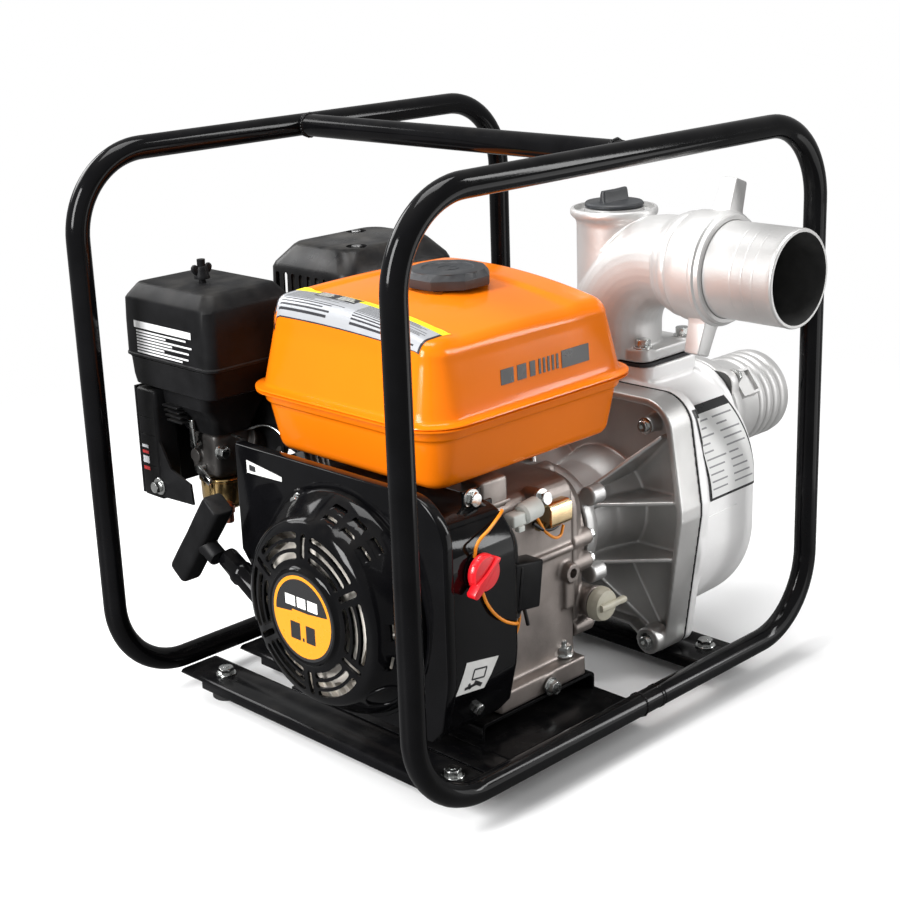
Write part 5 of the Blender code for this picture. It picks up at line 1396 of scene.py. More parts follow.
def build_coupling():
    start, end = NUT_Y
    long = start - end
    collar = start - COLLAR_Y + 0.0048
    profile = [(0.0409, long), (0.044, long), (0.0452, long - 0.001), (0.0458, long - 0.0045),
               (0.0478, long - 0.0056), (0.048, long - 0.0066), (0.048, long - 0.0085),
               (0.047, long - 0.0098),
               (0.0462, long - 0.011), (0.0466, 0.011), (0.0462, 0.003), (0.045, 0.0008), (0.044, 0.0),
               (0.0432, 0.0), (0.0432, collar), (0.0409, collar)]
    centre = Vector((OUTLET_X, start, DISCHARGE_Z))
    solids = [lathe("nut", profile, centre, -Y, 120, closed=True)]
    for degrees in (20, 200):
        rings = []
        for height, wide, deep in ((0.044, 0.0112, 0.0096), (0.0485, 0.0094, 0.0088), (0.05, 0.0092, 0.0086),
                                   (0.0722, 0.008, 0.0074), (0.0736, 0.0075, 0.0069), (0.074, 0.0066, 0.006)):
            rings.append(level(rounded_rectangle(wide, deep, 0.0013, 3), centre - Y * 0.02, height))
        solids.append(turn(loft("lug", rings), Y, degrees, centre))
    piece(merge("coupling_nut_casting", *solids), "pump_casting", "coupling_nut", "coupling_nut", sharp=35)
    length = COLLAR_Y - DISCHARGE_END
    base = [(0.042, 0.0), (0.0428, 0.0004), (0.0428, 0.0042), (0.042, 0.0045), (0.0403, 0.0048),
            (0.0402, 0.03)]
    profile = list(base)
    for groove in (0.035, 0.0457, 0.0561):
        profile += [(0.0402, groove - 0.0012), (0.0402, groove - 0.0002), (0.04012, groove),
                    (0.0402, groove + 0.0002),
                    (0.0402, groove + 0.0012)]
    profile += [(0.0402, length - 0.006), (0.0402, length - 0.003),
                      (0.0405, length - 0.0018), (0.04, length - 0.0004), (0.0394, length), (0.0374, length),
                      (0.037, length - 0.0008), (0.037, 0.0)]
    tail = lathe("discharge_hose_tail", profile, (OUTLET_X, COLLAR_Y, DISCHARGE_Z), -Y, 120, closed=True)
    piece(tail, "pump_casting", cad="discharge_hose_barb", sharp=30)
    darken_bore(tail, (OUTLET_X, COLLAR_Y, DISCHARGE_Z), Y)


# ---------------------------------------------------------------- crankcase
CASE_X = (-0.088, 0.014)
CASE_Y = (-0.107, 0.032)
COVER_X = (0.0143, 0.044)
# The cylinder's own frame: Z runs up the bore, which leans back to 20 degrees above level.
CYLINDER = (Matrix.Translation((-0.024, CRANK_Y, CRANK_Z))
            @ Matrix.Rotation(math.radians(20) - math.pi / 2, 4, "X"))


def build_crankcase():
    low, high = CASE_X
    case = box("case", (low, CASE_Y[0], 0.0365), (high - 0.0006, CASE_Y[1], 0.205), 0.014, 5, 0)
    foot = box("foot", (low, -0.1195, 0.0365), (high - 0.0006, 0.064, 0.0535), 0.0012, 2)
    fins = [box("barrel", (-0.042, -0.038, 0.02), (0.0355, 0.038, 0.1455))]
    fins += [box("fin", (-0.05, -0.0435, 0.076 + 0.0115 * i), (0.0362, 0.0435, 0.0792 + 0.0115 * i))
             for i in range(6)]
    for part in fins:
        part.data.transform(CYLINDER)
    solids = [case, foot] + fins
    # Upright rib, ledge and screw bosses on the near side; a deep shelf runs along the foot.
    solids.append(box("upright", (-0.001, -0.112, 0.096), (0.011, -0.104, 0.128), 0.0025, 3, 2))
    solids.append(rod("post_top", (0.005, -0.115, 0.127), (0.005, -0.1, 0.127), 0.008, sides=36))
    solids.append(box("ledge", (low + 0.002, -0.111, 0.144), (0.011, -0.104, 0.15), 0.002, 3, 0))
    solids.append(rod("drain_boss", (-0.032, -0.12, 0.0445), (-0.032, -0.108, 0.0445), 0.0078, sides=36))
    solids.append(rod("coil_boss", (-0.031, -0.114, 0.201), (-0.031, -0.098, 0.201), 0.0074, sides=36))
    # The wall steps back above the foot, which leaves a deep ledge for the mounting nuts.
    ledge = prism("ledge", [(0.14, 0.0537), (0.089, 0.0537), (0.089, 0.078), (0.108, 0.096), (0.14, 0.096)],
                  0.2, (-0.04, 0, 0), X)
    socket = rod("socket", (0.005, -0.12, 0.127), (0.005, -0.109, 0.127), 0.0042, sides=24)
    chamber = rod("chamber", (-0.064, CRANK_Y, CRANK_Z), (0.05, CRANK_Y, CRANK_Z), 0.052, sides=72)
    bearing = rod("bearing", (-0.12, CRANK_Y, CRANK_Z), (-0.05, CRANK_Y, CRANK_Z), 0.0128, sides=40)
    bore = rod("bore", (0, 0, 0), (0, 0, 0.16), 0.034, sides=72)
    bore.data.transform(CYLINDER)
    body = cast("crankcase_casting", solids, [ledge, socket, chamber, bearing, bore], 0.00125, 1)
    piece(body, "engine_casting", cad="crankcase", sharp=60)

    depth = COVER_X[1] - COVER_X[0]
    outline = rounded_rectangle(0.069, 0.0725, 0.03, 10, 4)
    middle = Vector((0, sum(CASE_Y) / 2, 0.131))
    rings = []
    for x, inset in ((0.0, 0.0), (0.006, 0.0), (0.0085, 0.002), (depth * 0.55, 0.005), (depth * 0.62, 0.009)):
        rings.append([middle + Vector((COVER_X[0] + x, y * (1 - inset / 0.07), z * (1 - inset / 0.07)))
                      for y, z in outline])
    plate = loft("plate", rings)
    solids = [plate, rod("boss", (0.018, CRANK_Y, CRANK_Z), (COVER_X[1] - 0.0004, CRANK_Y, CRANK_Z), 0.05,
                         sides=80)]
    solids.append(lathe("filler", [(0, 0), (0.0135, 0), (0.0125, 0.02), (0.014, 0.023), (0.014, 0.027),
                                   (0, 0.027)], (0.031, -0.09, 0.094), -Y, 48))
    for y, z in ((-0.1005, 0.1473), (-0.1005, 0.1265), (-0.101, 0.072), (-0.06, 0.196), (0.01, 0.193),
                 (0.025, 0.131), (0.005, 0.066), (-0.05, 0.064)):
        solids.append(rod("screw_boss", (COVER_X[0] + 0.0004, y, z), (COVER_X[1] - 0.006, y, z), 0.0078,
                          sides=36))
        web = Vector((0, CRANK_Y - y, CRANK_Z - z)).normalized()
        solids.append(tube("web", [Vector((0.03, y, z)), Vector((0.03, y, z)) + web * 0.022], 0.0034,
                           sides=12))
    holes = [rod("bearing", (0, CRANK_Y, CRANK_Z), (0.06, CRANK_Y, CRANK_Z), 0.0128, sides=48),
             rod("recess", (0, CRANK_Y, CRANK_Z), (COVER_X[0] + 0.006, CRANK_Y, CRANK_Z), 0.045, sides=64),
             rod("filler_hole", (0.031, -0.1, 0.094), (0.031, -0.125, 0.094), 0.0085, sides=40)]
    cover = cast("side_cover_casting", solids, holes, 0.0012, 2)
    piece(cover, "engine_casting", cad="crankcase_side_cover", sharp=60)
    for i, (y, z) in enumerate(((-0.1005, 0.1473), (-0.1005, 0.1265), (-0.101, 0.072))):
        hex_bolt(f"cover_bolt_{i}", (COVER_X[1] - 0.0058, y, z), X, 0.0082, 0.0048, 0.0066, twist=9 * i)


# Wires beside the case: name, radius, finish and the points they pass.
LEADS = (
    ("switch_lead_up", 0.00125, "orange_wire",
     [(-0.148, -0.1548, 0.196), (-0.146, -0.156, 0.206), (-0.133, -0.156, 0.214), (-0.112, -0.148, 0.219),
      (-0.098, -0.135, 0.214)]),
    ("switch_lead_down", 0.00125, "orange_wire",
     [(-0.142, -0.1546, 0.17), (-0.136, -0.1556, 0.155), (-0.123, -0.1572, 0.14), (-0.108, -0.157, 0.132),
      (-0.096, -0.142, 0.128)]),
    ("alert_lead", 0.00125, "orange_wire",
     [(-0.068, -0.122, 0.124), (-0.069, -0.123, 0.112), (-0.076, -0.122, 0.098), (-0.086, -0.118, 0.09)]),
    ("clamp_lead", 0.00125, "orange_wire",
     [(-0.04, -0.117, 0.188), (-0.03, -0.12, 0.172), (-0.018, -0.121, 0.167), (-0.011, -0.119, 0.174)]),
    ("harness_top", 0.0026, "black_wire",
     [(-0.115, -0.126, 0.223), (-0.108, -0.13, 0.216), (-0.098, -0.134, 0.206), (-0.085, -0.133, 0.188),
      (-0.077, -0.128, 0.164)]),
    ("harness_side", 0.0016, "black_wire",
     [(-0.098, -0.142, 0.132), (-0.09, -0.14, 0.127), (-0.076, -0.13, 0.124), (-0.066, -0.124, 0.129)]),
    ("alert_tail", 0.0016, "black_wire",
     [(-0.064, -0.123, 0.124), (-0.062, -0.124, 0.114), (-0.06, -0.124, 0.106)]),
    ("clamp_cable", 0.0016, "black_wire",
     [(-0.044, -0.117, 0.184), (-0.032, -0.119, 0.176), (-0.02, -0.12, 0.176), (-0.013, -0.118, 0.18)]))


def build_case_fittings():
    low, high = -0.084, -0.044
    unit = box("unit", (low, -0.133, 0.1235), (high - 0.008, -0.114, 0.162), 0.0018, 3)
    ridge = box("ridge", (low + 0.006, -0.1337, 0.126), (low + 0.0085, -0.1325, 0.159), 0.0005, 2)
    seam = box("seam", (high - 0.0088, -0.129, 0.128), (high - 0.0074, -0.117, 0.158), 0.0006, 2)
    alert = turn(merge("oil_alert_case", unit, ridge, seam), Y, 8, ((low + high) / 2, -0.12, 0.145))
    piece(alert, "black_plastic", cad="oil_alert_unit")
    base = Vector((0.031, -0.1178, 0.094))
    cap = lathe("cap", [(0, 0), (0.0135, 0), (0.0145, 0.0008), (0.0145, 0.005), (0.014, 0.0062),
                        (0.0126, 0.0098),
                        (0.0108, 0.0104), (0, 0.0106)], base, -Y, 60)
    tab_rings = []
    for along, half, tall in ((-0.009, 0.0026, 0.003), (0.002, 0.0034, 0.0034), (0.012, 0.0026, 0.0027),
                              (0.018, 0.0032, 0.003), (0.0215, 0.0028, 0.0024), (0.0222, 0.0016, 0.0014)):
        outline = rounded_rectangle(tall, half, min(half, tall) * 0.8, 4)
        tab_rings.append([base + Vector((along, -0.0106 - 0.0006 + v, u)) for u, v in outline])
    stem = rod("stem", base + Y * 0.013, base - Y * 0.002, 0.007, sides=36)
    piece(merge("oil_dipstick_moulding", cap, loft("tab", tab_rings), stem), "cream_plastic",
          "oil_dipstick_cap", "oil_dipstick_cap", sharp=40)
    hex_bolt("oil_drain_hex", (-0.032, -0.1212, 0.0425), -Y, 0.0102, 0.006, 0.0076, twist=15,
             cad="oil_drain_bolt")
    hex_bolt("foot_nut", (0.001, -0.106, 0.0542), Z, 0.0125, 0.0072, 0.0086, twist=8, stub=0.006)
    hex_bolt("foot_nut_back", (-0.078, -0.106, 0.0542), Z, 0.0125, 0.0072, 0.0086, twist=25, stub=0.006)
    hex_bolt("coil_bolt", (-0.031, -0.1146, 0.201), (0, -1, 0.2), 0.01, 0.0055, 0.008, twist=5)
    # Bracket that holds the wiring to the top of the case.
    block = box("block", (-0.095, -0.112, 0.204), (-0.066, -0.088, 0.229), 0.003, 3)
    band = box("band", (-0.096, -0.113, 0.207), (-0.065, -0.105, 0.21), 0.0008, 2)
    piece(merge("coil_core", block, band), "engine_casting")
    arm = [box("arm", (-0.126, -0.124, 0.218), (-0.108, -0.1205, 0.233), 0.0014, 3),
           box("tail", (-0.112, -0.124, 0.212), (-0.096, -0.121, 0.221), 0.0012, 2)]
    piece(merge("wiring_bracket", *arm), "cover_paint")
    hex_bolt("wiring_bracket_bolt", (-0.119, -0.1243, 0.2265), -Y, 0.01, 0.005, 0.0078, twist=12)
    clamp = [box("band", (-0.03, -0.124, 0.176), (-0.006, -0.109, 0.196), 0.0052, 5, 0),
             box("foot", (-0.034, -0.115, 0.1735), (-0.016, -0.1085, 0.18), 0.0012, 2)]
    piece(merge("cable_clamp", *clamp), "gold_plate")
    plug = [lathe("shell", [(0, 0), (0.008, 0), (0.0086, 0.001), (0.0086, 0.017), (0.007, 0.019), (0, 0.019)],
                  (-0.04, -0.1175, 0.1975), Vector((-1, 0, -0.12)).normalized(), 40),
            box("head", (-0.073, -0.1235, 0.189), (-0.058, -0.112, 0.199), 0.0016, 3),
            box("latch", (-0.069, -0.1255, 0.185), (-0.062, -0.12, 0.19), 0.001, 2)]
    piece(merge("wiring_connector", *plug), "white_plastic")
    for name, radius, material, points in LEADS:
        piece(tube(name, points, radius, sides=12, smooth=True), material, sharp=60)


# ---------------------------------------------------------------- air cleaner
CLEANER_MIDDLE = Vector((-0.1495, 0.144, 0))       # the stud and its knob
CLEANER_SHIFT = (0.0055, 0.0037)
CLEANER_Z = (0.274, 0.3, 0.364)


def cleaner_ring(inset, height, corner, half=(0.046, 0.0592), shift=CLEANER_SHIFT):
    outline = rounded_rectangle(half[0] - inset, half[1] - inset, max(corner - inset * 0.4, 0.003), 9, 4)
    return level([(u + shift[0], v + shift[1]) for u, v in outline], CLEANER_MIDDLE, height)


def build_air_cleaner():
    bottom, seam, top = CLEANER_Z
    levels = [(0.0012, seam + 0.0003, 0.011), (0.0, seam + 0.001, 0.011), (0.0, seam + 0.0026, 0.011),
              (0.0006, seam + 0.0034, 0.011), (0.0008, 0.33, 0.011), (0.0014, 0.348, 0.011),
              (0.0026, 0.3505, 0.012), (0.0092, 0.3588, 0.012), (0.0112, 0.3603, 0.011),
              (0.0145, 0.361, 0.01), (0.025, 0.3612, 0.008)]
    shell = loft("shell", [cleaner_ring(*row) for row in levels])
    dish = lathe("dish", [(0, 0.3595), (0.0235, 0.3595), (0.0232, 0.3612), (0.0222, 0.3616), (0.015, 0.363),
                          (0.014, 0.3635), (0, 0.3637)], CLEANER_MIDDLE, Z, 72)
    stud_hole = rod("stud_hole", CLEANER_MIDDLE + Z * 0.34, CLEANER_MIDDLE + Z * 0.38, 0.0034, sides=24)
    inside = loft("inside", [cleaner_ring(inset, height, corner) for inset, height, corner in
                             ((0.0028, 0.29, 0.009), (0.0036, 0.346, 0.009), (0.012, 0.3565, 0.009))])
    boolean(shell, [inside])
    cover = merge("cover", shell, dish)
    boolean(cover, [stud_hole], solver="EXACT")
    cover.name = "air_cleaner_lid"
    lid = piece(cover, "black_plastic", cad="air_cleaner_cover", sharp=32)

    near = drawn("air_cleaner_base")[0].y + 0.0004
    half = (0.0445, (CLEANER_MIDDLE.y + 0.0605 - near) / 2)
    shift = (CLEANER_SHIFT[0], near + half[1] - CLEANER_MIDDLE.y)
    levels = [(0.0, seam - 0.0006, 0.01), (0.0006, seam - 0.0014, 0.01), (0.0015, 0.284, 0.01),
              (0.0028, 0.2765, 0.01), (0.006, bottom + 0.0006, 0.011), (0.012, bottom, 0.012)]
    parts = [loft("tray", [cleaner_ring(*row, half, shift) for row in levels])]
    # The neck steps down to the carburettor, with upright ribs on its outer side.
    neck_levels = [((0.033, 0.04), (0.0035, 0.01), bottom + 0.001), ((0.032, 0.037), (0.004, 0.009), 0.262),
                   ((0.024, 0.028), (0.007, 0.004), 0.25), ((0.02, 0.022), (0.0075, 0.004), 0.2366)]
    neck = []
    for size, move, height in neck_levels:
        outline = rounded_rectangle(size[0], size[1], 0.007, 6, 3)
        neck.append(level([(u + move[0], v + move[1]) for u, v in outline], CLEANER_MIDDLE, height))
    parts.append(loft("neck", neck))
    for i in range(4):
        z = 0.26 - 0.0045 * i
        parts.append(box("rib", (-0.181 + 0.0012 * i, 0.15, z - 0.0009), (-0.17, 0.176, z + 0.0009),
                         0.0007, 2))
    parts.append(rod("stud", CLEANER_MIDDLE + Z * 0.275, CLEANER_MIDDLE + Z * 0.3725, 0.0028, sides=20,
                     chamfer=0.0005))
    piece(merge("air_cleaner_tray", *parts), "black_plastic", cad="air_cleaner_base", sharp=35)

    base = CLEANER_MIDDLE + Z * (top + 0.0003)
    hub = lathe("hub", [(0.0032, 0.0102), (0.0044, 0.0102), (0.0049, 0.0096), (0.0052, 0.007), (0.006, 0.003),
                        (0.0066, 0.001), (0.0064, 0.0), (0.0032, 0.0)], base, Z, 48, closed=True)
    wings = []
    for side in (-1, 1):
        rings = []
        for along, tall, low_z in ((0.0036, 0.0036, 0.0066), (0.0058, 0.0044, 0.0084),
                                   (0.0078, 0.0036, 0.0092), (0.009, 0.0022, 0.0096),
                                   (0.0094, 0.001, 0.0098)):
            outline = rounded_rectangle(0.0016, tall, 0.0009, 4)
            rings.append([base + Vector((side * along, u, low_z + v - 0.001)) for u, v in outline])
        wings.append(loft("wing", rings))
    piece(merge("air_cleaner_wing_nut", hub, *wings), "black_plastic", "air_cleaner_knob",
          "air_cleaner_knob", sharp=40)

    sheet = plain_print("cleaner_ink", (0.72, 0.72, 0.72))
    x = -0.2
    bars = [(0.1875, 0.111, 0.3312, 0.3256)]
    ends = (0.118, 0.145, 0.111, 0.137, 0.115, 0.148, 0.116, 0.124)
    for i, end in enumerate(ends):
        z = 0.3238 - 0.0025 * i
        bars.append((0.185, end, z, z - 0.0014))
    for i, (left, right, high_z, low_z) in enumerate(bars):
        corners = [(x, left, low_z), (x, right, low_z), (x, right, high_z), (x, left, high_z)]
        sticker(f"cleaner_print_{i}", corners, sheet, lid, LAID, (10, 2), toward=X)


# ---------------------------------------------------------------- carburettor and its controls
def build_carburettor():
    low, high = Vector((-0.16, 0.13, 0.198)), Vector((-0.122, 0.165, 0.2357))
    solids = [box("body", low, high, 0.005, 4),
              lathe("throat", [(0, 0), (0.015, 0), (0.015, 0.004), (0.0122, 0.006), (0.0122, 0.042),
                               (0, 0.044)],
                    (-0.126, 0.137, 0.2222), Vector((0.0415, 0, -0.017)), 48),
              rod("neck", (-0.141, 0.148, 0.1955), (-0.141, 0.148, 0.202), 0.015, sides=48),
              rod("screw_tower", (-0.152, 0.137, 0.22), (-0.152, 0.125, 0.22), 0.0048, sides=24),
              rod("pivot", (-0.164, 0.154, 0.215), (-0.156, 0.154, 0.215), 0.0062, sides=28)]
    piece(cast("carburettor_casting", solids, (), 0.0009, 2), "muffler_steel", cad="carburettor",
          sharp=180)
    base = Vector((-0.141, 0.148, 0.165))
    bowl = lathe("bowl", [(0, 0.03), (0.0196, 0.03), (0.0202, 0.0292), (0.0202, 0.0276), (0.019, 0.0266),
                          (0.0186, 0.011), (0.0176, 0.006), (0.014, 0.0022), (0.009, 0.0004), (0, 0.0)],
                 base, Z, 64)
    parts = [bowl]
    for i in range(3):
        parts.append(turn(box("band", base + Vector((-0.0198, -0.0016, 0.008)),
                              base + Vector((-0.0184, 0.0016, 0.029)),
                              0.0005, 2), Z, 25 + 120 * i, base))
    piece(merge("carburettor_bowl", *parts), "brass", cad="float_bowl", sharp=35)
    hex_bolt("bowl_screw", base + Z * 0.0004, -Z, 0.0102, 0.0062, 0.0072, material="machined")
    nozzle = lathe("fuel_drain_nozzle",
                   [(0, 0), (0.004, 0), (0.0046, 0.001), (0.0046, 0.008), (0.0058, 0.009),
                                         (0.0058, 0.015), (0.0042, 0.017), (0, 0.017)],
                   (-0.15, 0.1325, 0.1575), Z, 36)
    piece(nozzle, "copper")
    hex_bolt("carburettor_stud", (-0.153, 0.1315, 0.2205), (0, -1, 0), 0.0092, 0.006, 0.007, twist=14)

    low, high = drawn("control_panel")
    panel = box("panel", low + Vector((0.0002, 0.0004, 0.0004)), high - Vector((0.0002, 0.0004, 0.0004)),
                0.0032, 4)
    skirt = [(0.0, 0.0), (0.066, 0.003), (0.064, 0.02), (0.038, 0.028), (0.0, 0.09)]
    sheet = prism("sheet", [(-u, v) for u, v in skirt], 0.002, (-0.186, 0.1955, 0.18), X)
    # The far wall and the shelf behind the carburettor make it an open box.
    wall = prism("wall", [(-0.187, 0.18), (-0.11, 0.18), (-0.104, 0.2735), (-0.187, 0.2735)], 0.002,
                 (0, 0.1985, 0), -Y)
    back = box("back", (-0.111, 0.102, 0.18), (-0.109, 0.199, 0.2735), 0.0008, 2)
    sheet = merge("sheet", sheet, wall, back)
    grooves = [box("groove", (low.x - 0.002, low.y + 0.004, z), (low.x + 0.0007, high.y - 0.004, z + 0.0011))
               for z in (0.248, 0.233, 0.206)]
    boolean(panel, grooves)
    panel = piece(merge("control_cover", panel, sheet), "black_plastic", cad="control_panel", sharp=35)
    red = plain_print("control_red", (0.45, 0.02, 0.02))
    pale = plain_print("control_pale", (0.55, 0.56, 0.58))
    for i, (z, high_z, ink) in enumerate(((0.2215, 0.224, pale), (0.2165, 0.219, red), (0.208, 0.214, pale),
                                          (0.202, 0.205, red))):
        corners = [(-0.2, 0.1935, z), (-0.2, 0.185, z), (-0.2, 0.185, high_z), (-0.2, 0.1935, high_z)]
        sticker(f"control_mark_{i}", corners, ink, panel, LAID, (4, 2), toward=X)
    hex_bolt("control_bolt", (-0.1872, 0.1744, 0.19), -X, 0.0088, 0.0052, 0.0074, twist=11)

    for node, name, turned, length in (("choke_lever", "choke_arm", 0, 0.022),
                                       ("fuel_cock_lever", "fuel_cock_arm", 120, 0.018)):
        pivot_y, pivot_z = {"choke_lever": (0.15, 0.226), "fuel_cock_lever": (0.146, 0.206)}[node]
        pivot = Vector((-0.167, pivot_y, pivot_z))
        outline = arc((0, 0), 0.0036, 180, 360, 10) + arc((0, length - 0.003), 0.0026, 0, 180, 8)
        arm = round_edges(prism("arm", outline, 0.0022, pivot, X), 0.0004, 2)
        grip = box("grip", pivot + Vector((-0.0022, -0.003, length - 0.0075)),
                   pivot + Vector((0.0012, 0.003, length + 0.0004)), 0.001, 3)
        arm = turn(merge("arm", arm, grip), X, turned, pivot)
        pin = lathe("pin", [(0, 0), (0.0032, 0), (0.0036, 0.0006), (0.0036, 0.0012), (0.0026, 0.002),
                            (0.0026, 0.0075),
                            (0, 0.0075)], pivot - X * 0.0014, X, 24)
        piece(merge(name, arm, pin), "zinc", node, node, sharp=35)

    pivot = Vector((-0.15, 0.064, HOUSING_TOP + 0.0003))
    outline = arc((0, 0), 0.0066, 180, 360, 14) + arc((0, 0.04), 0.0046, 0, 180, 10)
    arm = round_edges(prism("arm", [(-u, v) for u, v in outline], 0.0026, pivot + Z * 0.0036, Z, Y), 0.0006,
                      2)
    tab = box("tab", pivot + Vector((-0.0048, 0.04, 0.0024)), pivot + Vector((0.0048, 0.0456, 0.0118)),
              0.0016, 3)
    hub = lathe("hub", [(0, 0), (0.0062, 0), (0.0065, 0.0006), (0.0065, 0.006), (0.005, 0.0068), (0, 0.0068)],
                pivot, Z, 36)
    piece(merge("throttle_arm", arm, tab, hub), "black_plastic", "throttle_lever", "throttle_lever", sharp=35)
    rods = {"governor_link": [(-0.148, 0.09, 0.229), (-0.144, 0.108, 0.231), (-0.142, 0.13, 0.233)],
            "governor_arm": [(-0.118, 0.082, 0.226), (-0.122, 0.105, 0.24), (-0.128, 0.13, 0.234)]}
    for name, points in rods.items():
        piece(tube(name, points, 0.0011, sides=12, smooth=True), "zinc", sharp=60)
    hose = [(-0.104, 0.096, 0.233), (-0.108, 0.108, 0.216), (-0.118, 0.118, 0.196), (-0.13, 0.13, 0.185)]
    piece(tube("fuel_hose", hose, 0.0042, sides=20, smooth=True), "rubber", sharp=60)


# ---------------------------------------------------------------- cylinder head and exhaust
def build_head():
    base = 0.1463
    solids = [box("plate", (-0.0575, -0.0435, base), (0.0495, 0.0435, base + 0.004), 0.0012, 2),
              box("core", (-0.048, -0.036, base), (0.046, 0.036, base + 0.0318), 0.003, 3)]
    for i in range(4):
        z = base + 0.007 + 0.0072 * i
        solids.append(box("fin", (-0.057, -0.0432, z), (0.049, 0.0432, z + 0.003), 0.001, 2))
    for part in solids:
        part.data.transform(CYLINDER)
    piece(merge("cylinder_head_casting", *solids), "engine_casting", cad="cylinder_head")
    top = base + 0.0323
    cover = box("cover", (-0.034, -0.033, top + 0.001), (0.046, 0.033, top + 0.0255), 0.0075, 5)
    rim = box("rim", (-0.0338, -0.0328, top), (0.0458, 0.0328, top + 0.004), 0.0016, 3)
    parts = [cover, rim]
    for part in parts:
        part.data.transform(CYLINDER)
    piece(merge("rocker_cover_pressing", *parts), "zinc", cad="rocker_cover")
    place = CYLINDER @ Vector((0.006, 0.0, top + 0.0255))
    hex_bolt("rocker_cover_bolt", place, CYLINDER.to_3x3() @ Z, 0.01, 0.005, 0.008)
    plug_x = -0.046
    body = lathe("body", [(0, 0), (0.0085, 0), (0.0085, 0.011), (0.0078, 0.0125), (0.0094, 0.015),
                          (0.009, 0.02),
                          (0.0095, 0.026), (0.0092, 0.037), (0.007, 0.039), (0, 0.0392)], (plug_x, 0, top), Z,
                 40)
    body.data.transform(CYLINDER)
    lead = [CYLINDER @ Vector(p) for p in ((plug_x, 0, top + 0.034), (plug_x - 0.01, -0.016, top + 0.04),
                                            (plug_x - 0.024, -0.045, top + 0.018),
                                           (plug_x - 0.032, -0.066, base - 0.02))]
    piece(merge("spark_plug_boot", body), "rubber", cad="spark_plug")
    piece(tube("ignition_lead", lead, 0.0033, sides=16, smooth=True), "black_wire", sharp=60)


MUFFLER_X = (-0.036, 0.098)
MUFFLER_Y = (0.097, 0.207)


def build_muffler():
    x0, x1 = MUFFLER_X
    y0, y1 = MUFFLER_Y
    middle = Vector(((x0 + x1) / 2, (y0 + y1) / 2, 0))
    half = ((x1 - x0) / 2, (y1 - y0) / 2)

    def ring(inset, height, corner):
        return level(rounded_rectangle(half[0] - inset, half[1] - inset, corner, 8, 4), middle, height)

    levels = [(0.0, 0.3062, 0.012), (0.0, 0.31, 0.012), (0.0012, 0.311, 0.012), (0.002, 0.348, 0.013),
              (0.004, 0.3525, 0.013), (0.015, 0.3665, 0.015), (0.0175, 0.3685, 0.015),
              (0.0205, 0.3692, 0.014)]
    shell = loft("shell", [ring(*row) for row in levels])
    inside = loft("inside", [ring(inset + 0.0019, height, corner) for inset, height, corner in
                             ((0.0012, 0.3, 0.011), (0.002, 0.347, 0.012), (0.015, 0.3645, 0.013))])
    cutters = []
    for i in range(8):
        y = y0 + 0.018 + i * 0.0104
        for x in (x0, x1):
            cutters.append(box("slot", (x - 0.01, y, 0.319), (x + 0.01, y + 0.0052, 0.3455), 0.0022, 3, 0))
    for i in range(9):
        x = x0 + 0.02 + i * 0.011
        for y in (y0, y1):
            cutters.append(box("slot", (x, y - 0.01, 0.319), (x + 0.0052, y + 0.01, 0.3455), 0.0022, 3, 1))
    bolts = ((0.05, 0.179), (0.001, 0.124))
    cutters += [rod("recess", (x, y, 0.3662), (x, y, 0.38), 0.0092, sides=40) for x, y in bolts]
    boolean(shell, [inside])
    boolean(shell, [merge("slots", *cutters)], solver="MANIFOLD")
    shell.name = "muffler_guard_pressing"
    cups = [lathe("cup", [(0, 0.363), (0.0094, 0.363), (0.0094, 0.368), (0.0088, 0.368), (0.0086, 0.365),
                          (0, 0.365)],
                  (x, y, 0), Z, 36) for x, y in bolts]
    piece(merge("muffler_guard_pressing", shell, *cups), "guard_plastic", cad="muffler_guard", sharp=35)
    for i, (x, y) in enumerate(bolts):
        hex_bolt(f"muffler_guard_bolt_{i}", (x, y, 0.365), Z, 0.008, 0.0036, 0.006, twist=19 * i,
                 material="plate_zinc")
    body = box("body", (x0 + 0.0125, y0 + 0.0125, 0.2845), (x1 - 0.0125, y1 - 0.0125, 0.3485), 0.014, 5)
    seam = box("seam", (x0 + 0.0115, y0 + 0.0115, 0.312), (x1 - 0.0115, y1 - 0.0115, 0.315), 0.001, 2)
    pipe = tube("pipe", [(0.0268, 0.126, 0.215), (0.042, 0.128, 0.219), (0.052, 0.133, 0.234),
                         (0.055, 0.14, 0.29)], 0.0108, sides=40, smooth=True)
    outlet = lathe("outlet", [(0.0072, 0), (0.0085, 0), (0.0085, 0.01), (0.0072, 0.01)],
                   (0.07, y1 - 0.014, 0.33), Y,
                   36, closed=True)
    piece(merge("muffler_body", body, seam, pipe, outlet), "muffler_steel", cad="muffler", sharp=35)


# ---------------------------------------------------------------- parts that keep their CAD shape
KEPT = {"crankshaft": "machined", "impeller": "pump_casting", "piston": "machined",
        "recoil_reel": "fan_metal",
        "air_filter_element": "foam", "mechanical_seal": "rubber", "inner_volute": "pump_casting",
        "check_valve_flap": "rubber"}


def paint_kept():
    """Gives the hidden working parts their finish; their CAD meshes stay as they are."""
    for node, material in KEPT.items():
        obj = frame["nodes"][node]
        for slot in obj.material_slots:
            slot.material = MATERIALS[material]


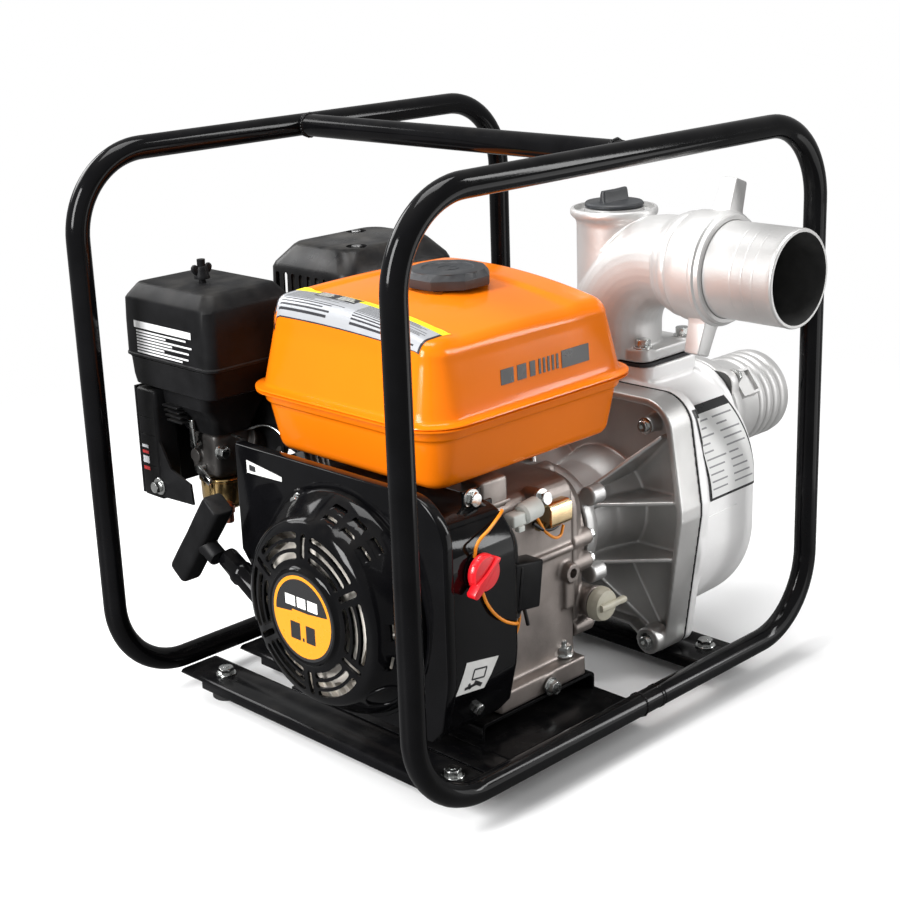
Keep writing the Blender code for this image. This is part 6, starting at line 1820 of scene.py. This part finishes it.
def build_recoil_screen():
    """The pale ribbed screen and reel face that show through the starter's slots."""
    centre = (-0.195, CRANK_Y, CRANK_Z)
    disc = lathe("disc", [(0.0585, 0), (0.0775, 0), (0.0775, 0.0014), (0.0585, 0.0014)], centre, X, 96,
                 closed=True)

    def rib():
        inner, outer = [], []
        for i in range(5):
            radius = 0.059 + 0.018 * i / 4
            swept = 0.22 * i / 4
            thick = 0.0009 / radius
            inner.append((-radius * math.cos(swept - thick), radius * math.sin(swept - thick)))
            outer.append((-radius * math.cos(swept + thick), radius * math.sin(swept + thick)))
        return prism("rib", inner + outer[::-1], 0.005, (centre[0] - 0.0022, CRANK_Y, CRANK_Z), X)

    piece(merge("starter_screen", disc, *repeat(30, rib, X, centre)), "fan_metal", sharp=35)


# ---------------------------------------------------------------- stage
WORLD_FILL, WORLD_MIRRORED = 0.3, 0.1
FLOOR_SEEN, FLOOR_LIT, FLOOR_MIRRORED = [(grey, grey, grey, 1) for grey in (0.93, 0.42, 0.15)]
FLOOR_FADE = (0.45, 1.15)
# Name, place, watts and size of each lamp; all of them look at the middle of the engine.
LAMPS = (("key", (-1.9, 0.1, 1.2), 74, (0.6, 1.3)), ("top", (0.1, 0.1, 2.2), 36, (1.3, 0.9)),
         ("side", (1.5, -1.5, 1.2), 20, (0.25, 1.5)), ("back", (-0.4, 1.9, 1.3), 24, (1.2, 0.8)),
         ("near", (0.42, -0.62, 0.12), 1.1, (0.4, 0.4)))
LAMPS_AIM = Vector((0, 0, 0.2))


def build_stage():
    bpy.ops.mesh.primitive_plane_add(size=12, location=(0, 0, 0))
    floor = bpy.context.object
    floor.name = "floor"
    surface = Surface("floor_paper", FLOOR_SEEN[:3], 0.55)
    # The camera sees a pale floor; paint and castings mirror a darker one.
    path = surface.node("ShaderNodeLightPath")
    mirrored = surface.mix(path.outputs["Is Glossy Ray"], FLOOR_LIT, FLOOR_MIRRORED)
    seen = surface.mix(path.outputs["Is Camera Ray"], mirrored, FLOOR_SEEN)
    surface.put(surface.shader.inputs["Base Color"], seen)
    # Far from the set the floor gives way to the plain background.
    distance = surface.node("ShaderNodeVectorMath", operation="LENGTH")
    surface.links.new(surface.place, distance.inputs[0])
    clear = surface.node("ShaderNodeBsdfTransparent")
    fade = surface.node("ShaderNodeMixShader")
    surface.links.new(surface.span(distance.outputs["Value"], *FLOOR_FADE), fade.inputs["Fac"])
    surface.links.new(surface.shader.outputs["BSDF"], fade.inputs[1])
    surface.links.new(clear.outputs["BSDF"], fade.inputs[2])
    surface.links.new(fade.outputs["Shader"], surface.nodes["Material Output"].inputs["Surface"])
    floor.data.materials.append(surface.material)
    world = bpy.data.worlds.new("studio")
    scene.world = world
    world.use_nodes = True
    nodes, links = world.node_tree.nodes, world.node_tree.links
    nodes["Background"].inputs["Color"].default_value = (1, 1, 1, 1)
    seen = nodes.new("ShaderNodeBackground")
    seen.inputs["Color"].default_value = (1, 1, 1, 1)
    seen.inputs["Strength"].default_value = 1.0
    path = nodes.new("ShaderNodeLightPath")
    mix = nodes.new("ShaderNodeMixShader")
    links.new(path.outputs["Is Camera Ray"], mix.inputs["Fac"])
    links.new(nodes["Background"].outputs["Background"], mix.inputs[1])
    links.new(seen.outputs["Background"], mix.inputs[2])
    # What the castings mirror is a little brighter than the light that fills the shadows.
    dim = nodes.new("ShaderNodeMath")
    dim.operation = "MULTIPLY_ADD"
    dim.inputs[1].default_value = WORLD_MIRRORED
    dim.inputs[2].default_value = WORLD_FILL
    links.new(path.outputs["Is Glossy Ray"], dim.inputs[0])
    links.new(dim.outputs["Value"], nodes["Background"].inputs["Strength"])
    links.new(mix.outputs["Shader"], nodes["World Output"].inputs["Surface"])
    for name, place, power, size in LAMPS:
        light = bpy.data.lights.new(name, "AREA")
        light.shape = "RECTANGLE"
        light.size, light.size_y = size
        light.energy = power
        holder = link(name, light)
        holder.location = Vector(place) + SHIFT
        holder.visible_camera = False
        aim = LAMPS_AIM + SHIFT - holder.location
        holder.rotation_euler = aim.to_track_quat("-Z", "Y").to_euler()


def build_camera():
    camera = bpy.data.cameras.new("camera")
    camera.lens = 67.95
    camera.sensor_width = 36
    holder = link("camera", camera)
    right = Vector((0.70578, -0.70755, -0.03425))
    up = Vector((0.2359, 0.18911, 0.95319))
    back = Vector((-0.668, -0.6808, 0.3004))
    turned = Matrix((right, up, back)).transposed().to_4x4()
    holder.matrix_world = Matrix.Translation(Vector((-0.9591, -0.9602, 0.6379)) + SHIFT) @ turned
    scene.camera = holder
    scene.view_settings.view_transform = "Standard"


# ---------------------------------------------------------------- assembly
def build_all():
    for build in (build_hoops, build_crossbar, build_hoop_joints, build_plates, build_feet):
        build()
    build_tank_prints(build_tank())
    for build in (build_fuel_cap, build_recoil_cover, build_recoil_handle, build_fan):
        build()
    build_housing_details(build_housing())
    build_rating_label(build_casing())
    for build in (build_recoil_label, build_switch, build_bracket, build_suction, build_elbow,
                  build_priming_cap,
                  build_coupling, build_crankcase, build_case_fittings, build_air_cleaner, build_carburettor,
                  build_head, build_muffler, build_recoil_screen, paint_kept, build_stage, build_camera):
        build()


build_all()
